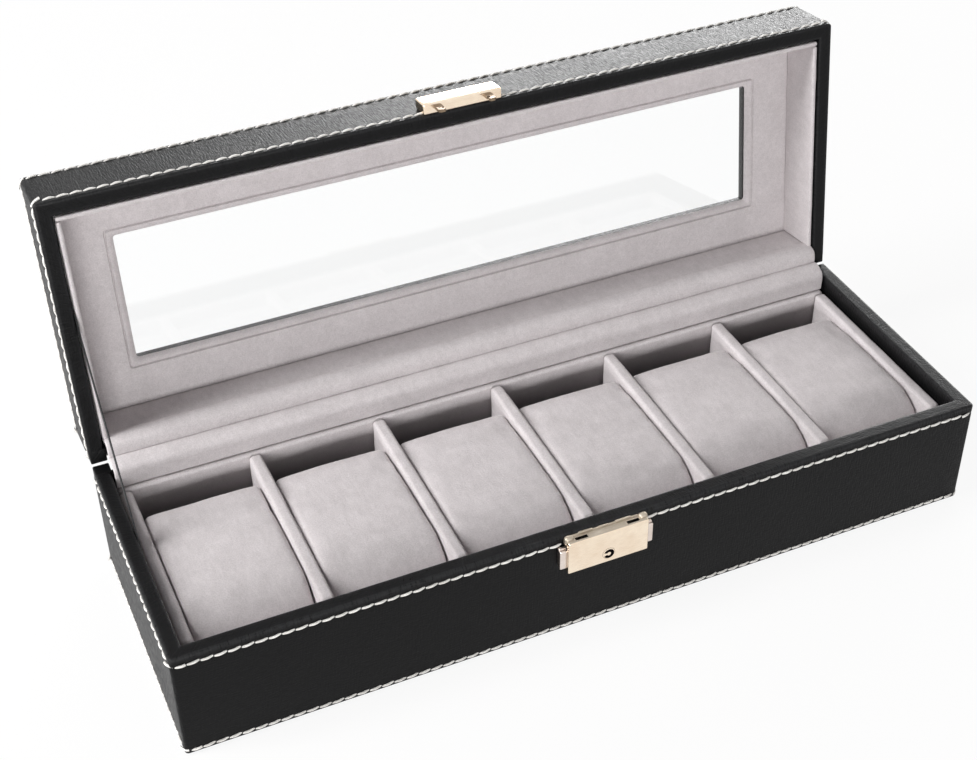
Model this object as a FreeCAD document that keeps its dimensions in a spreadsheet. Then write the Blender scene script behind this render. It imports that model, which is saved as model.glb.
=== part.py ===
import FreeCAD
import Part
import Sketcher

import os

# Watch box for six watches, lid open. Millimetres and degrees.
# +X runs along the box, -Y is the front, +Z is up, and the origin is the centre of the underside.
# Lid pieces are drawn in the lid's own frame: its origin is on the hinge axis, -Y runs to the lid's
# front and +Z from the rim to the top, as when the lid is shut. They are then turned to the open angle.

SIZES = {
    # Whole box
    "box_length": 305.0,
    "box_depth": 102.0,
    "base_height": 45.5,
    "lid_height": 26.0,
    "lid_open_angle": 98.0,
    "rim_gap": 0.4,
    "corner_radius": 1.5,
    "cut_over": 1.0,
    # Boards and leather
    "board": 4.5,
    "floor_board": 3.0,
    "leather": 0.5,
    "sheet_thickness": 0.8,
    "sheet_inset": 2.0,
    "skin_lift": 0.3,
    "base_bevel": 4.8,
    "lid_bevel": 3.6,
    "back_step": 0.8,
    "band_depth": 6.6,
    "lid_turn_in": 3.0,
    # Velvet tray
    "tray_drop": 6.0,
    "tray_gap": 0.6,
    "tray_board": 4.9,
    "tray_floor": 2.0,
    "divider": 5.0,
    "divider_count": 5.0,
    "velvet_edge": 1.6,
    # Lid top, window and lining
    "lid_top_board": 3.0,
    "window_margin": 26.0,
    "pane": 2.0,
    "card": 1.5,
    "card_margin": 26.2,
    "card_sill": 0.6,
    "lining": 1.8,
    "lining_proud": 0.1,
    "lining_edge": 0.7,
    "back_lining_from": 6.9,
    # Pillows
    "pillow_width": 42.2,
    "pillow_front_gap": 0.7,
    "pillow_length": 68.7,
    "pillow_top": 39.2,
    "pillow_foot_gap": 0.1,
    "pillow_front_round": 16.0,
    "pillow_back_round": 10.0,
    "pillow_foot_round": 5.0,
    # Hinges
    "hinge_spread": 85.0,
    "hinge_length": 26.0,
    "lid_knuckle_length": 9.6,
    "knuckle_gap": 0.2,
    "knuckle_radius": 1.75,
    "hinge_bore_radius": 0.85,
    "hinge_pin_radius": 0.8,
    "pin_head_radius": 1.3,
    "pin_head": 0.6,
    "leaf": 0.8,
    "leaf_drop": 5.7,
    "leaf_air": 0.15,
    "screw_radius": 0.8,
    "screw_head_radius": 1.4,
    "screw_head": 0.4,
    "screw_length": 3.0,
    "screw_spread": 8.0,
    "screw_drop": 3.4,
    "hole_play": 0.05,
    # Velvet hinge strip and stay ribbon
    "strip_length": 292.4,
    "ribbon_width": 3.0,
    "ribbon_thickness": 0.5,
    "ribbon_wall_gap": 0.05,
    "ribbon_lid_reach": 56.0,
    "ribbon_lid_tuck": 4.0,
    "ribbon_base_y": 6.0,
    "ribbon_base_tuck": 4.0,
    # Lock
    "lock_width": 30.6,
    "lock_height": 14.0,
    "lock_proud": 4.0,
    "lock_drop": 0.9,
    "case_wall": 0.9,
    "slot_width": 4.6,
    "slot_depth": 1.9,
    "slot_side_play": 0.7,
    "hook_from": 8.2,
    "hook_width": 2.8,
    "hook_thickness": 1.1,
    "hook_length": 5.0,
    "hook_notch": 1.0,
    "barb": 1.05,
    "notch_height": 1.4,
    "tab_reach": 2.5,
    "tab_height": 9.3,
    "tab_thickness": 1.35,
    "tab_back_air": 0.25,
    "tab_play": 0.1,
    "tab_plate": 2.2,
    "tab_flange": 1.0,
    "tab_bar": 1.9,
    "tab_lip": 0.4,
    "claw_reach": 3.05,
    "claw_height": 1.1,
    "claw_air": 0.15,
    "cam_play": 0.3,
    "plug_radius": 2.3,
    "plug_play": 0.05,
    "plug_proud": 0.25,
    "plug_back_air": 0.2,
    "plug_height": 4.05,
    "cam_half": 2.8,
    "cam_width": 1.8,
    "hub_radius": 0.85,
    "key_slot": 0.7,
    "key_slot_depth": 1.2,
    "post_from": 7.0,
    "post_radius": 1.2,
    "post_height": 6.6,
    "spring_radius": 0.7,
    "spring_wire": 0.25,
    "rivet_radius": 0.8,
    "rivet_head_radius": 1.5,
    "rivet_head": 0.5,
    "rivet_seat": 1.6,
    # Strike
    "strike_width": 30.0,
    "strike_height": 8.0,
    "strike_lift": 0.3,
    "strike_rivet_height": 5.2,
}

# Names for the places that several pieces share, as expressions on the sheet.
HALF_X = "Sizes.box_length / 2"
HALF_Y = "Sizes.box_depth / 2"
RIM_Z = "(Sizes.base_height - Sizes.rim_gap / 2)"
BOARD_Z = f"({RIM_Z} - Sizes.leather)"
CORE_X = f"({HALF_X} - Sizes.leather)"
CORE_Y = f"({HALF_Y} - Sizes.leather)"
INNER_X = f"({CORE_X} - Sizes.board)"
INNER_Y = f"({CORE_Y} - Sizes.board)"
BAND_X = f"({INNER_X} - Sizes.leather)"
BAND_Y = f"({INNER_Y} - Sizes.leather)"
TRAY_X = f"({BAND_X} - Sizes.tray_gap)"
TRAY_Y = f"({BAND_Y} - Sizes.tray_gap)"
SLOT_X = f"({TRAY_X} - Sizes.tray_board)"
SLOT_Y = f"({TRAY_Y} - Sizes.tray_board)"
FLOOR_Z = "(Sizes.sheet_thickness + Sizes.floor_board)"
TRAY_FLOOR_Z = f"({FLOOR_Z} + Sizes.tray_floor)"
TRAY_Z = "(Sizes.base_height - Sizes.tray_drop)"
BAND_Z = "(Sizes.base_height - Sizes.band_depth)"
SLOT_WIDTH = f"((2 * {SLOT_X} - Sizes.divider_count * Sizes.divider) / (Sizes.divider_count + 1))"
SLOT_PITCH = f"({SLOT_WIDTH} + Sizes.divider)"

LID_RIM = "(Sizes.rim_gap / 2)"
LID_BOARD = f"({LID_RIM} + Sizes.leather)"
LID_TOP = "(Sizes.lid_height - Sizes.leather)"
LID_UNDER = f"({LID_TOP} - Sizes.lid_top_board)"
PANE_UNDER = f"({LID_UNDER} - Sizes.pane)"
CARD_UNDER = f"({PANE_UNDER} - Sizes.card)"
LID_BACK = "-Sizes.leather"
LID_BACK_INNER = "(-Sizes.leather - Sizes.board)"
LID_FRONT = "(Sizes.leather - Sizes.box_depth)"
LID_FRONT_INNER = f"({LID_FRONT} + Sizes.board)"
LID_FRONT_BAND = f"({LID_FRONT_INNER} + Sizes.leather)"
LID_BACK_BAND = f"({LID_BACK_INNER} - Sizes.leather)"
LINING_X = TRAY_X
LINING_FRONT = f"({LID_FRONT_BAND} + Sizes.tray_gap)"
LINING_BACK = "-Sizes.back_lining_from"

LOCK_TOP = "(Sizes.base_height - Sizes.lock_drop)"
LOCK_FOOT = f"({LOCK_TOP} - Sizes.lock_height)"
LOCK_FACE = f"(-{HALF_Y} - Sizes.lock_proud)"
LOCK_INSIDE = f"({LOCK_FACE} + Sizes.case_wall)"
PLUG_Z = f"({LOCK_FOOT} + Sizes.plug_height)"
POST_Z = f"({LOCK_FOOT} + Sizes.post_height)"
TAB_BACK = f"(-{HALF_Y} - Sizes.tab_back_air)"
TAB_FRONT = f"({TAB_BACK} - Sizes.tab_thickness)"
TAB_MID_Z = f"({LOCK_FOOT} + Sizes.lock_height / 2 + Sizes.tab_play)"
TAB_TOP = f"({TAB_MID_Z} + Sizes.tab_height / 2)"
TAB_FOOT = f"({TAB_MID_Z} - Sizes.tab_height / 2)"
HOOK_FRONT = f"({LOCK_INSIDE} + Sizes.tab_play)"
BARB_TOP = "(Sizes.base_height + Sizes.strike_lift - Sizes.hook_length + Sizes.barb)"

V = FreeCAD.Vector
doc = FreeCAD.newDocument("watch_box")
sheet = doc.addObject("Spreadsheet::Sheet", "Sizes")
for row, (alias, value) in enumerate(SIZES.items(), 1):
    sheet.set(f"A{row}", alias)
    sheet.set(f"B{row}", str(value))
    sheet.setAlias(f"B{row}", alias)
doc.recompute()

pieces = []


def size(alias):
    """A plain number from the sheet."""
    return float(sheet.get(alias))


def place(item, frame, x, y, z, tilt=0):
    """Put an object's own origin at x, y, z of the base's frame or the lid's, tilted about X."""
    at = [x, y, z]
    turn = "0"
    if frame == "lid":
        turn = "Sizes.lid_open_angle"
        at[1] = f"{HALF_Y} + ({y}) * cos({turn}) + ({z}) * sin({turn})"
        at[2] = f"Sizes.base_height - ({y}) * sin({turn}) + ({z}) * cos({turn})"
    if frame == "lid" or tilt:
        item.Placement = FreeCAD.Placement(V(), FreeCAD.Rotation(V(-1, 0, 0), 45))
        item.setExpression("Placement.Rotation.Angle", f"{turn} - ({tilt})")
    for axis, expression in zip("xyz", at):
        item.setExpression(f"Placement.Base.{axis}", str(expression))


def keep(item, label):
    """Name a finished object as one piece of the box."""
    item.Label = label
    pieces.append(item)
    return item


def block(name, frame, x, y, z):
    """A plain box between the pairs of limits x, y and z."""
    item = doc.addObject("Part::Box", name)
    for side, (low, high) in zip(("Length", "Width", "Height"), (x, y, z)):
        item.setExpression(side, f"({high}) - ({low})")
    place(item, frame, x[0], y[0], z[0])
    return item


def rod(name, frame, radius, y, x, z):
    """A round bar along Y between the limits y, with its axis through x and z."""
    item = doc.addObject("Part::Cylinder", name)
    item.setExpression("Radius", radius)
    item.setExpression("Height", f"({y[1]}) - ({y[0]})")
    place(item, frame, x, y[1], z, tilt=90)
    return item


def axle(name, radius, x, y=HALF_Y, z="Sizes.base_height"):
    """A round bar along X between the limits x, by default on the hinge axis."""
    item = doc.addObject("Part::Cylinder", name)
    item.setExpression("Radius", radius)
    item.setExpression("Height", f"({x[1]}) - ({x[0]})")
    item.Placement = FreeCAD.Placement(V(), FreeCAD.Rotation(V(0, 1, 0), 90))
    for axis, expression in zip("xyz", (x[0], y, z)):
        item.setExpression(f"Placement.Base.{axis}", expression)
    return item


def bevel_tool(name, frame, bevel, inset):
    """A three-sided bar that takes the long back edge at the rim off, inset deeper than the bevel."""
    item = doc.addObject("Part::Wedge", name)
    leg = f"{bevel} + sqrt(2) * ({inset}) + 2 * Sizes.cut_over"
    item.setExpression("Xmax", "Sizes.box_length + 2 * Sizes.cut_over")
    item.setExpression("X2max", "Sizes.box_length + 2 * Sizes.cut_over")
    item.setExpression("Ymax", leg)
    item.setExpression("Zmax", leg)
    for limit in ("Xmin", "X2min", "Ymin", "Zmin", "Z2min", "Z2max"):
        setattr(item, limit, 0)
    start = f"-{HALF_X} - Sizes.cut_over"
    if frame == "base":
        place(item, frame, start, f"{HALF_Y} + Sizes.cut_over", "Sizes.base_height + Sizes.cut_over",
              tilt=180)
    else:
        place(item, frame, start, "Sizes.cut_over", "-Sizes.cut_over", tilt=90)
    return item


def join(name, items):
    """Several touching solids as one."""
    if len(items) == 1:
        return items[0]
    item = doc.addObject("Part::MultiFuse", name)
    item.Shapes = items
    item.Refine = True
    return item


def cut(name, base, tools):
    """A solid less its tools."""
    item = doc.addObject("Part::Cut", name)
    item.Base = base
    item.Tool = join(f"{name}_tools", tools)
    item.Refine = True
    return item


def group(name, items):
    """Separate solids that share one piece."""
    item = doc.addObject("Part::Compound", name)
    item.Links = items
    return item


def both(limit):
    """The pair of limits the same way to each side of the middle."""
    return f"-({limit})", f"({limit})"


def mirrored(limits, sign):
    """A pair of limits out from the middle, to the right for sign 1 and to the left for -1."""
    low, high = limits
    return (low, high) if sign > 0 else (f"-({high})", f"-({low})")


def soft_board(label, frame, x, y, z, radius, end):
    """A velvet-covered board between the limits, its long edges rounded at one end of its height."""
    body = doc.addObject("PartDesign::Body", label)
    plan = body.newObject("Sketcher::SketchObject", f"{label}_plan")
    plane = next(f for f in body.Origin.OriginFeatures if f.Role == "XY_Plane")
    plan.AttachmentSupport = [(plane, "")]
    plan.MapMode = "FlatFace"
    corners = [V(-1, -1, 0), V(1, -1, 0), V(1, 1, 0), V(-1, 1, 0)]
    for start, stop in zip(corners, corners[1:] + corners[:1]):
        plan.addGeometry(Part.LineSegment(start, stop), False)
    for side in range(4):
        plan.addConstraint(Sketcher.Constraint("Coincident", side, 2, (side + 1) % 4, 1))
        plan.addConstraint(Sketcher.Constraint("Vertical" if side % 2 else "Horizontal", side))
    plan.addConstraint(Sketcher.Constraint("Symmetric", 0, 1, 2, 1, -1, 1))
    for name, side, (low, high) in (("DistanceX", 0, x), ("DistanceY", 1, y)):
        row = plan.addConstraint(Sketcher.Constraint(name, side, 1, side, 2, 2.0))
        plan.setExpression(f"Constraints[{row}]", f"({high}) - ({low})")
    pad = body.newObject("PartDesign::Pad", f"{label}_pad")
    pad.Profile = plan
    pad.setExpression("Length", f"({z[1]}) - ({z[0]})")
    doc.recompute()
    box = pad.Shape.BoundBox
    level = box.ZMax if end == "top" else box.ZMin
    long_side = max(box.XLength, box.YLength)
    names = []
    for number, edge in enumerate(pad.Shape.Edges, 1):
        at_end = all(abs(vertex.Z - level) < 1e-6 for vertex in edge.Vertexes)
        if at_end and abs(edge.Length - long_side) < 1e-6:
            names.append(f"Edge{number}")
    rounding = body.newObject("PartDesign::Fillet", f"{label}_rounding")
    rounding.Base = (pad, names)
    rounding.setExpression("Radius", radius)
    place(body, frame, f"(({x[0]}) + ({x[1]})) / 2", f"(({y[0]}) + ({y[1]})) / 2", z[0])
    return keep(body, label)


def rounded_block(name, frame, x, y, z):
    """A box whose four upright edges are rounded."""
    base = block(f"{name}_square", frame, x, y, z)
    doc.recompute()
    height = base.Height.Value
    item = doc.addObject("Part::Fillet", name)
    item.Base = base
    radius = size("corner_radius")
    upright = [n for n, edge in enumerate(base.Shape.Edges, 1) if abs(edge.Length - height) < 1e-6]
    item.Edges = [(n, radius, radius) for n in upright]
    return item


# Holes that pass through several pieces
lock_rivet_holes = []
strike_rivet_holes = []
base_screw_holes = []
lid_screw_holes = []
SIDES = (("left", -1), ("right", 1))
SCREWS = [(f"{side}_{n}", f"{sign} * Sizes.hinge_spread + {n} * Sizes.screw_spread")
          for side, sign in SIDES for n in (-1, 1)]
RIVET_HOLE = "Sizes.rivet_radius + Sizes.hole_play"
SCREW_HOLE = "Sizes.screw_radius + Sizes.hole_play"
BASE_SCREW_Z = "Sizes.base_height - Sizes.screw_drop"
for side, sign in SIDES:
    at = f"{sign} * Sizes.post_from"
    span = (f"-{HALF_Y} - Sizes.rivet_seat - Sizes.hole_play", f"-{INNER_Y} + Sizes.cut_over")
    lock_rivet_holes.append(rod(f"lock_rivet_hole_{side}", "base", RIVET_HOLE, span, at, POST_Z))
    span = ("-Sizes.box_depth - Sizes.rivet_seat - Sizes.hole_play", f"{LID_FRONT_INNER} + Sizes.cut_over")
    strike_rivet_holes.append(
        rod(f"strike_rivet_hole_{side}", "lid", RIVET_HOLE, span, at, "Sizes.strike_rivet_height"))
for name, at in SCREWS:
    span = (f"{BAND_Y} - 2 * Sizes.leaf", f"{BAND_Y} + Sizes.screw_length + Sizes.hole_play")
    base_screw_holes.append(rod(f"base_screw_hole_{name}", "base", SCREW_HOLE, span, at, BASE_SCREW_Z))
    span = (f"{LID_BACK_BAND} - 2 * Sizes.leaf", f"{LID_BACK_BAND} + Sizes.screw_length + Sizes.hole_play")
    lid_screw_holes.append(rod(f"lid_screw_hole_{name}", "lid", SCREW_HOLE, span, at, "Sizes.screw_drop"))

# Base boards
BASE_WALL = ("Sizes.sheet_thickness", BOARD_Z)
BACK_WALL = ("Sizes.sheet_thickness", f"{BOARD_Z} - Sizes.back_step")
board_bevel = bevel_tool("base_board_bevel", "base", "Sizes.base_bevel", "Sizes.leather")
keep(block("underside", "base", both(f"{HALF_X} - Sizes.sheet_inset"), both(f"{HALF_Y} - Sizes.sheet_inset"),
           ("0", "Sizes.sheet_thickness")), "base_underside_sheet")
keep(block("floor", "base", both(INNER_X), both(INNER_Y), ("Sizes.sheet_thickness", FLOOR_Z)),
     "base_floor_panel")
for side, sign in SIDES:
    wall = block(f"base_{side}_wall", "base", mirrored((INNER_X, CORE_X), sign), both(CORE_Y), BASE_WALL)
    keep(cut(f"base_{side}", wall, [board_bevel]), f"base_{side}_panel")
front_wall = block("base_front_wall", "base", both(INNER_X), mirrored((INNER_Y, CORE_Y), -1), BASE_WALL)
keep(cut("base_front", front_wall, lock_rivet_holes), "base_front_panel")
back_wall = block("base_back_wall", "base", both(INNER_X), (INNER_Y, CORE_Y), BACK_WALL)
keep(cut("base_back", back_wall, [board_bevel] + base_screw_holes), "base_back_panel")

# Base leather: outside of the walls, over the rim and down inside as a band
BELOW = "-Sizes.cut_over"
ABOVE = f"{RIM_Z} + Sizes.cut_over"
BEHIND = f"{HALF_Y} + Sizes.cut_over"
outside = rounded_block("base_outside", "base", both(HALF_X), both(HALF_Y), ("Sizes.skin_lift", RIM_Z))
core_step = block("base_core_step", "base", both(INNER_X), (INNER_Y, BEHIND),
                  (f"{BOARD_Z} - Sizes.back_step", ABOVE))
core = cut("base_core", block("base_core_block", "base", both(CORE_X), both(CORE_Y), (BELOW, BOARD_Z)),
           [core_step, board_bevel])
hollow = block("base_hollow", "base", both(INNER_X), both(INNER_Y), (BELOW, ABOVE))
band = cut("base_band", block("base_band_outer", "base", both(INNER_X), both(INNER_Y), (BAND_Z, RIM_Z)),
           [block("base_band_inner", "base", both(BAND_X), both(BAND_Y), (BELOW, ABOVE))])
skin_step = block("base_skin_step", "base", both(BAND_X), (f"{BAND_Y} - Sizes.leather", BEHIND),
                  (f"{RIM_Z} - Sizes.back_step", ABOVE))
skin_bevel = bevel_tool("base_skin_bevel", "base", "Sizes.base_bevel", "0")
skin = join("base_skin", [cut("base_outer_skin", outside, [core, hollow]), band])
keep(cut("base_leather", skin, [skin_step, skin_bevel] + lock_rivet_holes + base_screw_holes),
     "base_leather_wrap")

# Velvet tray
TRAY_WALL = (TRAY_FLOOR_Z, TRAY_Z)
keep(block("tray_floor", "base", both(TRAY_X), both(TRAY_Y), (FLOOR_Z, TRAY_FLOOR_Z)), "tray_floor_board")
soft_board("tray_front_board", "base", both(TRAY_X), mirrored((SLOT_Y, TRAY_Y), -1), TRAY_WALL,
           "Sizes.velvet_edge", "top")
soft_board("tray_back_board", "base", both(TRAY_X), (SLOT_Y, TRAY_Y), TRAY_WALL, "Sizes.velvet_edge", "top")
for side, sign in SIDES:
    soft_board(f"tray_{side}_board", "base", mirrored((SLOT_X, TRAY_X), sign), both(SLOT_Y), TRAY_WALL,
               "Sizes.velvet_edge", "top")
divider_count = round(size("divider_count"))
for number in range(1, divider_count + 1):
    middle = f"({number} - (Sizes.divider_count + 1) / 2) * {SLOT_PITCH}"
    across = (f"{middle} - Sizes.divider / 2", f"{middle} + Sizes.divider / 2")
    soft_board(f"divider_{number}", "base", across, both(SLOT_Y), TRAY_WALL, "Sizes.velvet_edge", "top")


def measured(expression):
    """The number that an expression on the sheet gives."""
    return float(sheet.evalExpression(expression))


# A pillow's sections: place along its half width, drawn in all round, and drop of its crown
PILLOW_SECTIONS = ((-1.0, 2.2, 1.6), (-0.94, 0.8, 0.7), (-0.55, 0.2, 0.2), (0.0, 0.0, 0.0),
                   (0.55, 0.2, 0.2), (0.94, 0.8, 0.7), (1.0, 2.2, 1.6))


def pillow_section(x, inset, drop):
    """A closed outline of lines and quarter arcs across the pillow at x."""
    front = measured(f"-{SLOT_Y} + Sizes.pillow_front_gap") + inset
    back = measured(f"-{SLOT_Y} + Sizes.pillow_front_gap + Sizes.pillow_length") - inset
    foot = measured(f"{TRAY_FLOOR_Z} + Sizes.pillow_foot_gap")
    top = size("pillow_top") - drop
    # Each corner: its place, the way in along Y and Z, and its radius, in order round the outline
    corners = ((front, foot, 1, 1, size("pillow_foot_round")),
               (back, foot, -1, 1, size("pillow_foot_round")),
               (back, top, -1, -1, size("pillow_back_round")),
               (front, top, 1, -1, size("pillow_front_round")))
    slack = 1 - 0.5 ** 0.5
    stations = []
    for index, (y, z, way_y, way_z, radius) in enumerate(corners):
        along_z = V(x, y, z + way_z * radius)
        middle = V(x, y + way_y * radius * slack, z + way_z * radius * slack)
        along_y = V(x, y + way_y * radius, z)
        stations.append((along_z, middle, along_y) if index % 2 == 0 else (along_y, middle, along_z))
    edges = []
    for index, (start, middle, stop) in enumerate(stations):
        edges.append(Part.Arc(start, middle, stop).toShape())
        edges.append(Part.LineSegment(stop, stations[(index + 1) % 4][0]).toShape())
    return Part.Wire(edges)


half_width = size("pillow_width") / 2
pillow_form = Part.makeLoft([pillow_section(place_x * half_width, inset, drop)
                             for place_x, inset, drop in PILLOW_SECTIONS], True, False)
for number in range(1, divider_count + 2):
    pillow = doc.addObject("Part::Feature", f"pillow_{number}")
    pillow.Shape = pillow_form
    pillow.setExpression("Placement.Base.x", f"({number} - (Sizes.divider_count + 2) / 2) * {SLOT_PITCH}")
    keep(pillow, f"watch_pillow_{number}")

# Lid boards
LID_WALL = (LID_BOARD, LID_UNDER)
lid_board_bevel = bevel_tool("lid_board_bevel", "lid", "Sizes.lid_bevel", "Sizes.leather")


def window(name, margin, z, sill="0"):
    """A block as large as an opening with that margin to the lid's outline, and a sill along the hinge."""
    return block(name, "lid", both(f"{HALF_X} - ({margin})"),
                 (f"({margin}) - Sizes.box_depth", f"-({margin}) - ({sill})"), z)


THROUGH = (f"{LID_UNDER} - Sizes.cut_over", "Sizes.lid_height + Sizes.cut_over")
lid_top = block("lid_top_board", "lid", both(CORE_X), (LID_FRONT, LID_BACK), (LID_UNDER, LID_TOP))
keep(cut("lid_top", lid_top, [window("lid_board_window", "Sizes.window_margin - Sizes.leather", THROUGH)]),
     "lid_top_panel")
for side, sign in SIDES:
    wall = block(f"lid_{side}_wall", "lid", mirrored((INNER_X, CORE_X), sign), (LID_FRONT, LID_BACK),
                 LID_WALL)
    keep(cut(f"lid_{side}", wall, [lid_board_bevel]), f"lid_{side}_panel")
lid_front_wall = block("lid_front_wall", "lid", both(INNER_X), (LID_FRONT, LID_FRONT_INNER), LID_WALL)
keep(cut("lid_front", lid_front_wall, strike_rivet_holes), "lid_front_panel")
lid_back_wall = block("lid_back_wall", "lid", both(INNER_X), (LID_BACK_INNER, LID_BACK),
                      (f"{LID_BOARD} + Sizes.back_step", LID_UNDER))
keep(cut("lid_back", lid_back_wall, [lid_board_bevel] + lid_screw_holes), "lid_back_panel")

# Lid leather: outside, over the rim, turned in at the rim and round the window's edge
lid_outside = rounded_block("lid_outside", "lid", both(HALF_X), ("-Sizes.box_depth", "0"),
                            (LID_RIM, "Sizes.lid_height"))
lid_core_step = block("lid_core_step", "lid", both(INNER_X), (LID_BACK_INNER, "Sizes.cut_over"),
                      (BELOW, f"{LID_BOARD} + Sizes.back_step"))
lid_core = cut("lid_core", block("lid_core_block", "lid", both(CORE_X), (LID_FRONT, LID_BACK),
                                 (LID_BOARD, LID_TOP)), [lid_core_step, lid_board_bevel])
LID_INSIDE_Y = (LID_FRONT_INNER, LID_BACK_INNER)
lid_hollow = block("lid_hollow", "lid", both(INNER_X), LID_INSIDE_Y, (BELOW, LID_UNDER))
lid_band = cut("lid_band", block("lid_band_outer", "lid", both(INNER_X), LID_INSIDE_Y,
                                 (LID_RIM, "Sizes.lid_turn_in")),
               [block("lid_band_inner", "lid", both(BAND_X), (LID_FRONT_BAND, LID_BACK_BAND),
                      (BELOW, LID_UNDER))])
lid_lip = window("lid_lip", "Sizes.window_margin - Sizes.leather", (LID_UNDER, "Sizes.lid_height"))
lid_skin = join("lid_skin", [cut("lid_outer_skin", lid_outside, [lid_core, lid_hollow]), lid_band, lid_lip])
lid_skin_step = block("lid_skin_step", "lid", both(BAND_X), (LID_BACK_BAND, "Sizes.cut_over"),
                      (BELOW, f"{LID_RIM} + Sizes.back_step"))
lid_skin_bevel = bevel_tool("lid_skin_bevel", "lid", "Sizes.lid_bevel", "0")
lid_openings = [lid_skin_step, lid_skin_bevel, window("lid_window", "Sizes.window_margin", THROUGH)]
keep(cut("lid_leather", lid_skin, lid_openings + strike_rivet_holes + lid_screw_holes), "lid_leather_wrap")

# Window pane, its velvet card and the velvet lining
LINED_Y = (LINING_FRONT, LINING_BACK)
keep(block("pane_sheet", "lid", both(LINING_X), LINED_Y, (PANE_UNDER, LID_UNDER)), "window_pane")
card = block("card_blank", "lid", both(LINING_X), LINED_Y, (CARD_UNDER, PANE_UNDER))
card_window = window("card_window", "Sizes.card_margin", (f"{CARD_UNDER} - 1", f"{PANE_UNDER} + 1"),
                     "Sizes.card_sill")
keep(cut("card", card, [card_window]), "window_card")
LINING_WALL = (f"{LID_RIM} - Sizes.lining_proud", CARD_UNDER)
SIDE_LINING_Y = (f"{LINING_FRONT} + Sizes.lining", f"{LINING_BACK} - Sizes.lining")
soft_board("lid_front_lining", "lid", both(LINING_X), (LINING_FRONT, SIDE_LINING_Y[0]), LINING_WALL,
           "Sizes.lining_edge", "foot")
soft_board("lid_back_lining", "lid", both(LINING_X), (SIDE_LINING_Y[1], LINING_BACK), LINING_WALL,
           "Sizes.lining_edge", "foot")
for side, sign in SIDES:
    across = mirrored((f"{LINING_X} - Sizes.lining", LINING_X), sign)
    soft_board(f"lid_{side}_lining", "lid", across, SIDE_LINING_Y, LINING_WALL, "Sizes.lining_edge", "foot")

# Butt hinges: two knuckles on the base leaf, one between them on the lid leaf, and a headed pin
KNUCKLE_AIR = "Sizes.knuckle_radius + Sizes.knuckle_gap"
HALF_KNUCKLE = "Sizes.lid_knuckle_length / 2"
HALF_HINGE = "Sizes.hinge_length / 2"
BARREL_EDGE = "(Sizes.hinge_bore_radius + Sizes.hole_play)"


def along(middle, low, high):
    """Limits low and high counted from a middle."""
    return f"{middle} + ({low})", f"{middle} + ({high})"


for side, sign in SIDES:
    middle = f"{sign} * Sizes.hinge_spread"
    whole = along(middle, f"-{HALF_HINGE}", HALF_HINGE)
    outer = {"a": along(middle, f"-{HALF_HINGE}", f"-{HALF_KNUCKLE} - Sizes.knuckle_gap"),
             "b": along(middle, f"{HALF_KNUCKLE} + Sizes.knuckle_gap", HALF_HINGE)}
    inner = along(middle, f"-{HALF_KNUCKLE}", HALF_KNUCKLE)
    bore = axle(f"hinge_bore_{side}", "Sizes.hinge_bore_radius",
                along(middle, f"-{HALF_HINGE} - 1", f"{HALF_HINGE} + 1"))
    leaf_top = "Sizes.base_height - Sizes.leaf_air"
    leaf_y = (f"{BAND_Y} - Sizes.leaf", BAND_Y)
    web_y = (leaf_y[0], f"{HALF_Y} - {BARREL_EDGE}")
    flap_z = ("Sizes.base_height - Sizes.leaf_drop", leaf_top)
    plates = [block(f"base_web_{side}", "base", whole, web_y, (f"{leaf_top} - Sizes.leaf", leaf_top)),
              block(f"base_flap_{side}", "base", whole, leaf_y, flap_z)]
    plates += [axle(f"base_knuckle_{side}_{end}", "Sizes.knuckle_radius", x) for end, x in outer.items()]
    room = axle(f"lid_knuckle_room_{side}", KNUCKLE_AIR,
                along(middle, f"-{HALF_KNUCKLE} - Sizes.knuckle_gap", f"{HALF_KNUCKLE} + Sizes.knuckle_gap"))
    keep(cut(f"base_leaf_{side}", join(f"base_leaf_plates_{side}", plates), [bore, room] + base_screw_holes),
         f"hinge_base_leaf_{side}")

    leaf_y = (f"{LID_BACK_BAND} - Sizes.leaf", LID_BACK_BAND)
    web_z = ("Sizes.leaf_air", "Sizes.leaf_air + Sizes.leaf")
    plates = [block(f"lid_web_{side}", "lid", whole, (leaf_y[0], f"-{BARREL_EDGE}"), web_z),
              block(f"lid_flap_{side}", "lid", whole, leaf_y, ("Sizes.leaf_air", "Sizes.leaf_drop")),
              axle(f"lid_knuckle_{side}", "Sizes.knuckle_radius", inner)]
    rooms = [axle(f"base_knuckle_room_{side}_a", KNUCKLE_AIR,
                  along(middle, f"-{HALF_HINGE} - 1", f"-{HALF_KNUCKLE}")),
             axle(f"base_knuckle_room_{side}_b", KNUCKLE_AIR,
                  along(middle, HALF_KNUCKLE, f"{HALF_HINGE} + 1"))]
    keep(cut(f"lid_leaf_{side}", join(f"lid_leaf_plates_{side}", plates), [bore] + rooms + lid_screw_holes),
         f"hinge_lid_leaf_{side}")

    heads = {"a": along(middle, f"-{HALF_HINGE} - Sizes.pin_head", f"-{HALF_HINGE}"),
             "b": along(middle, HALF_HINGE, f"{HALF_HINGE} + Sizes.pin_head")}
    pin = [axle(f"hinge_pin_shank_{side}", "Sizes.hinge_pin_radius", whole)]
    pin += [axle(f"hinge_pin_head_{side}_{end}", "Sizes.pin_head_radius", x) for end, x in heads.items()]
    keep(join(f"hinge_pin_solid_{side}", pin), f"hinge_pin_{side}")


def screw(name, frame, face, x, z):
    """A flat-headed screw whose head rests on a leaf with its outer face at that Y."""
    shank = rod(f"{name}_shank", frame, "Sizes.screw_radius",
                (face, f"{face} + Sizes.leaf + Sizes.screw_length"), x, z)
    head = rod(f"{name}_head", frame, "Sizes.screw_head_radius", (f"{face} - Sizes.screw_head", face), x, z)
    return join(name, [shank, head])


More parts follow.
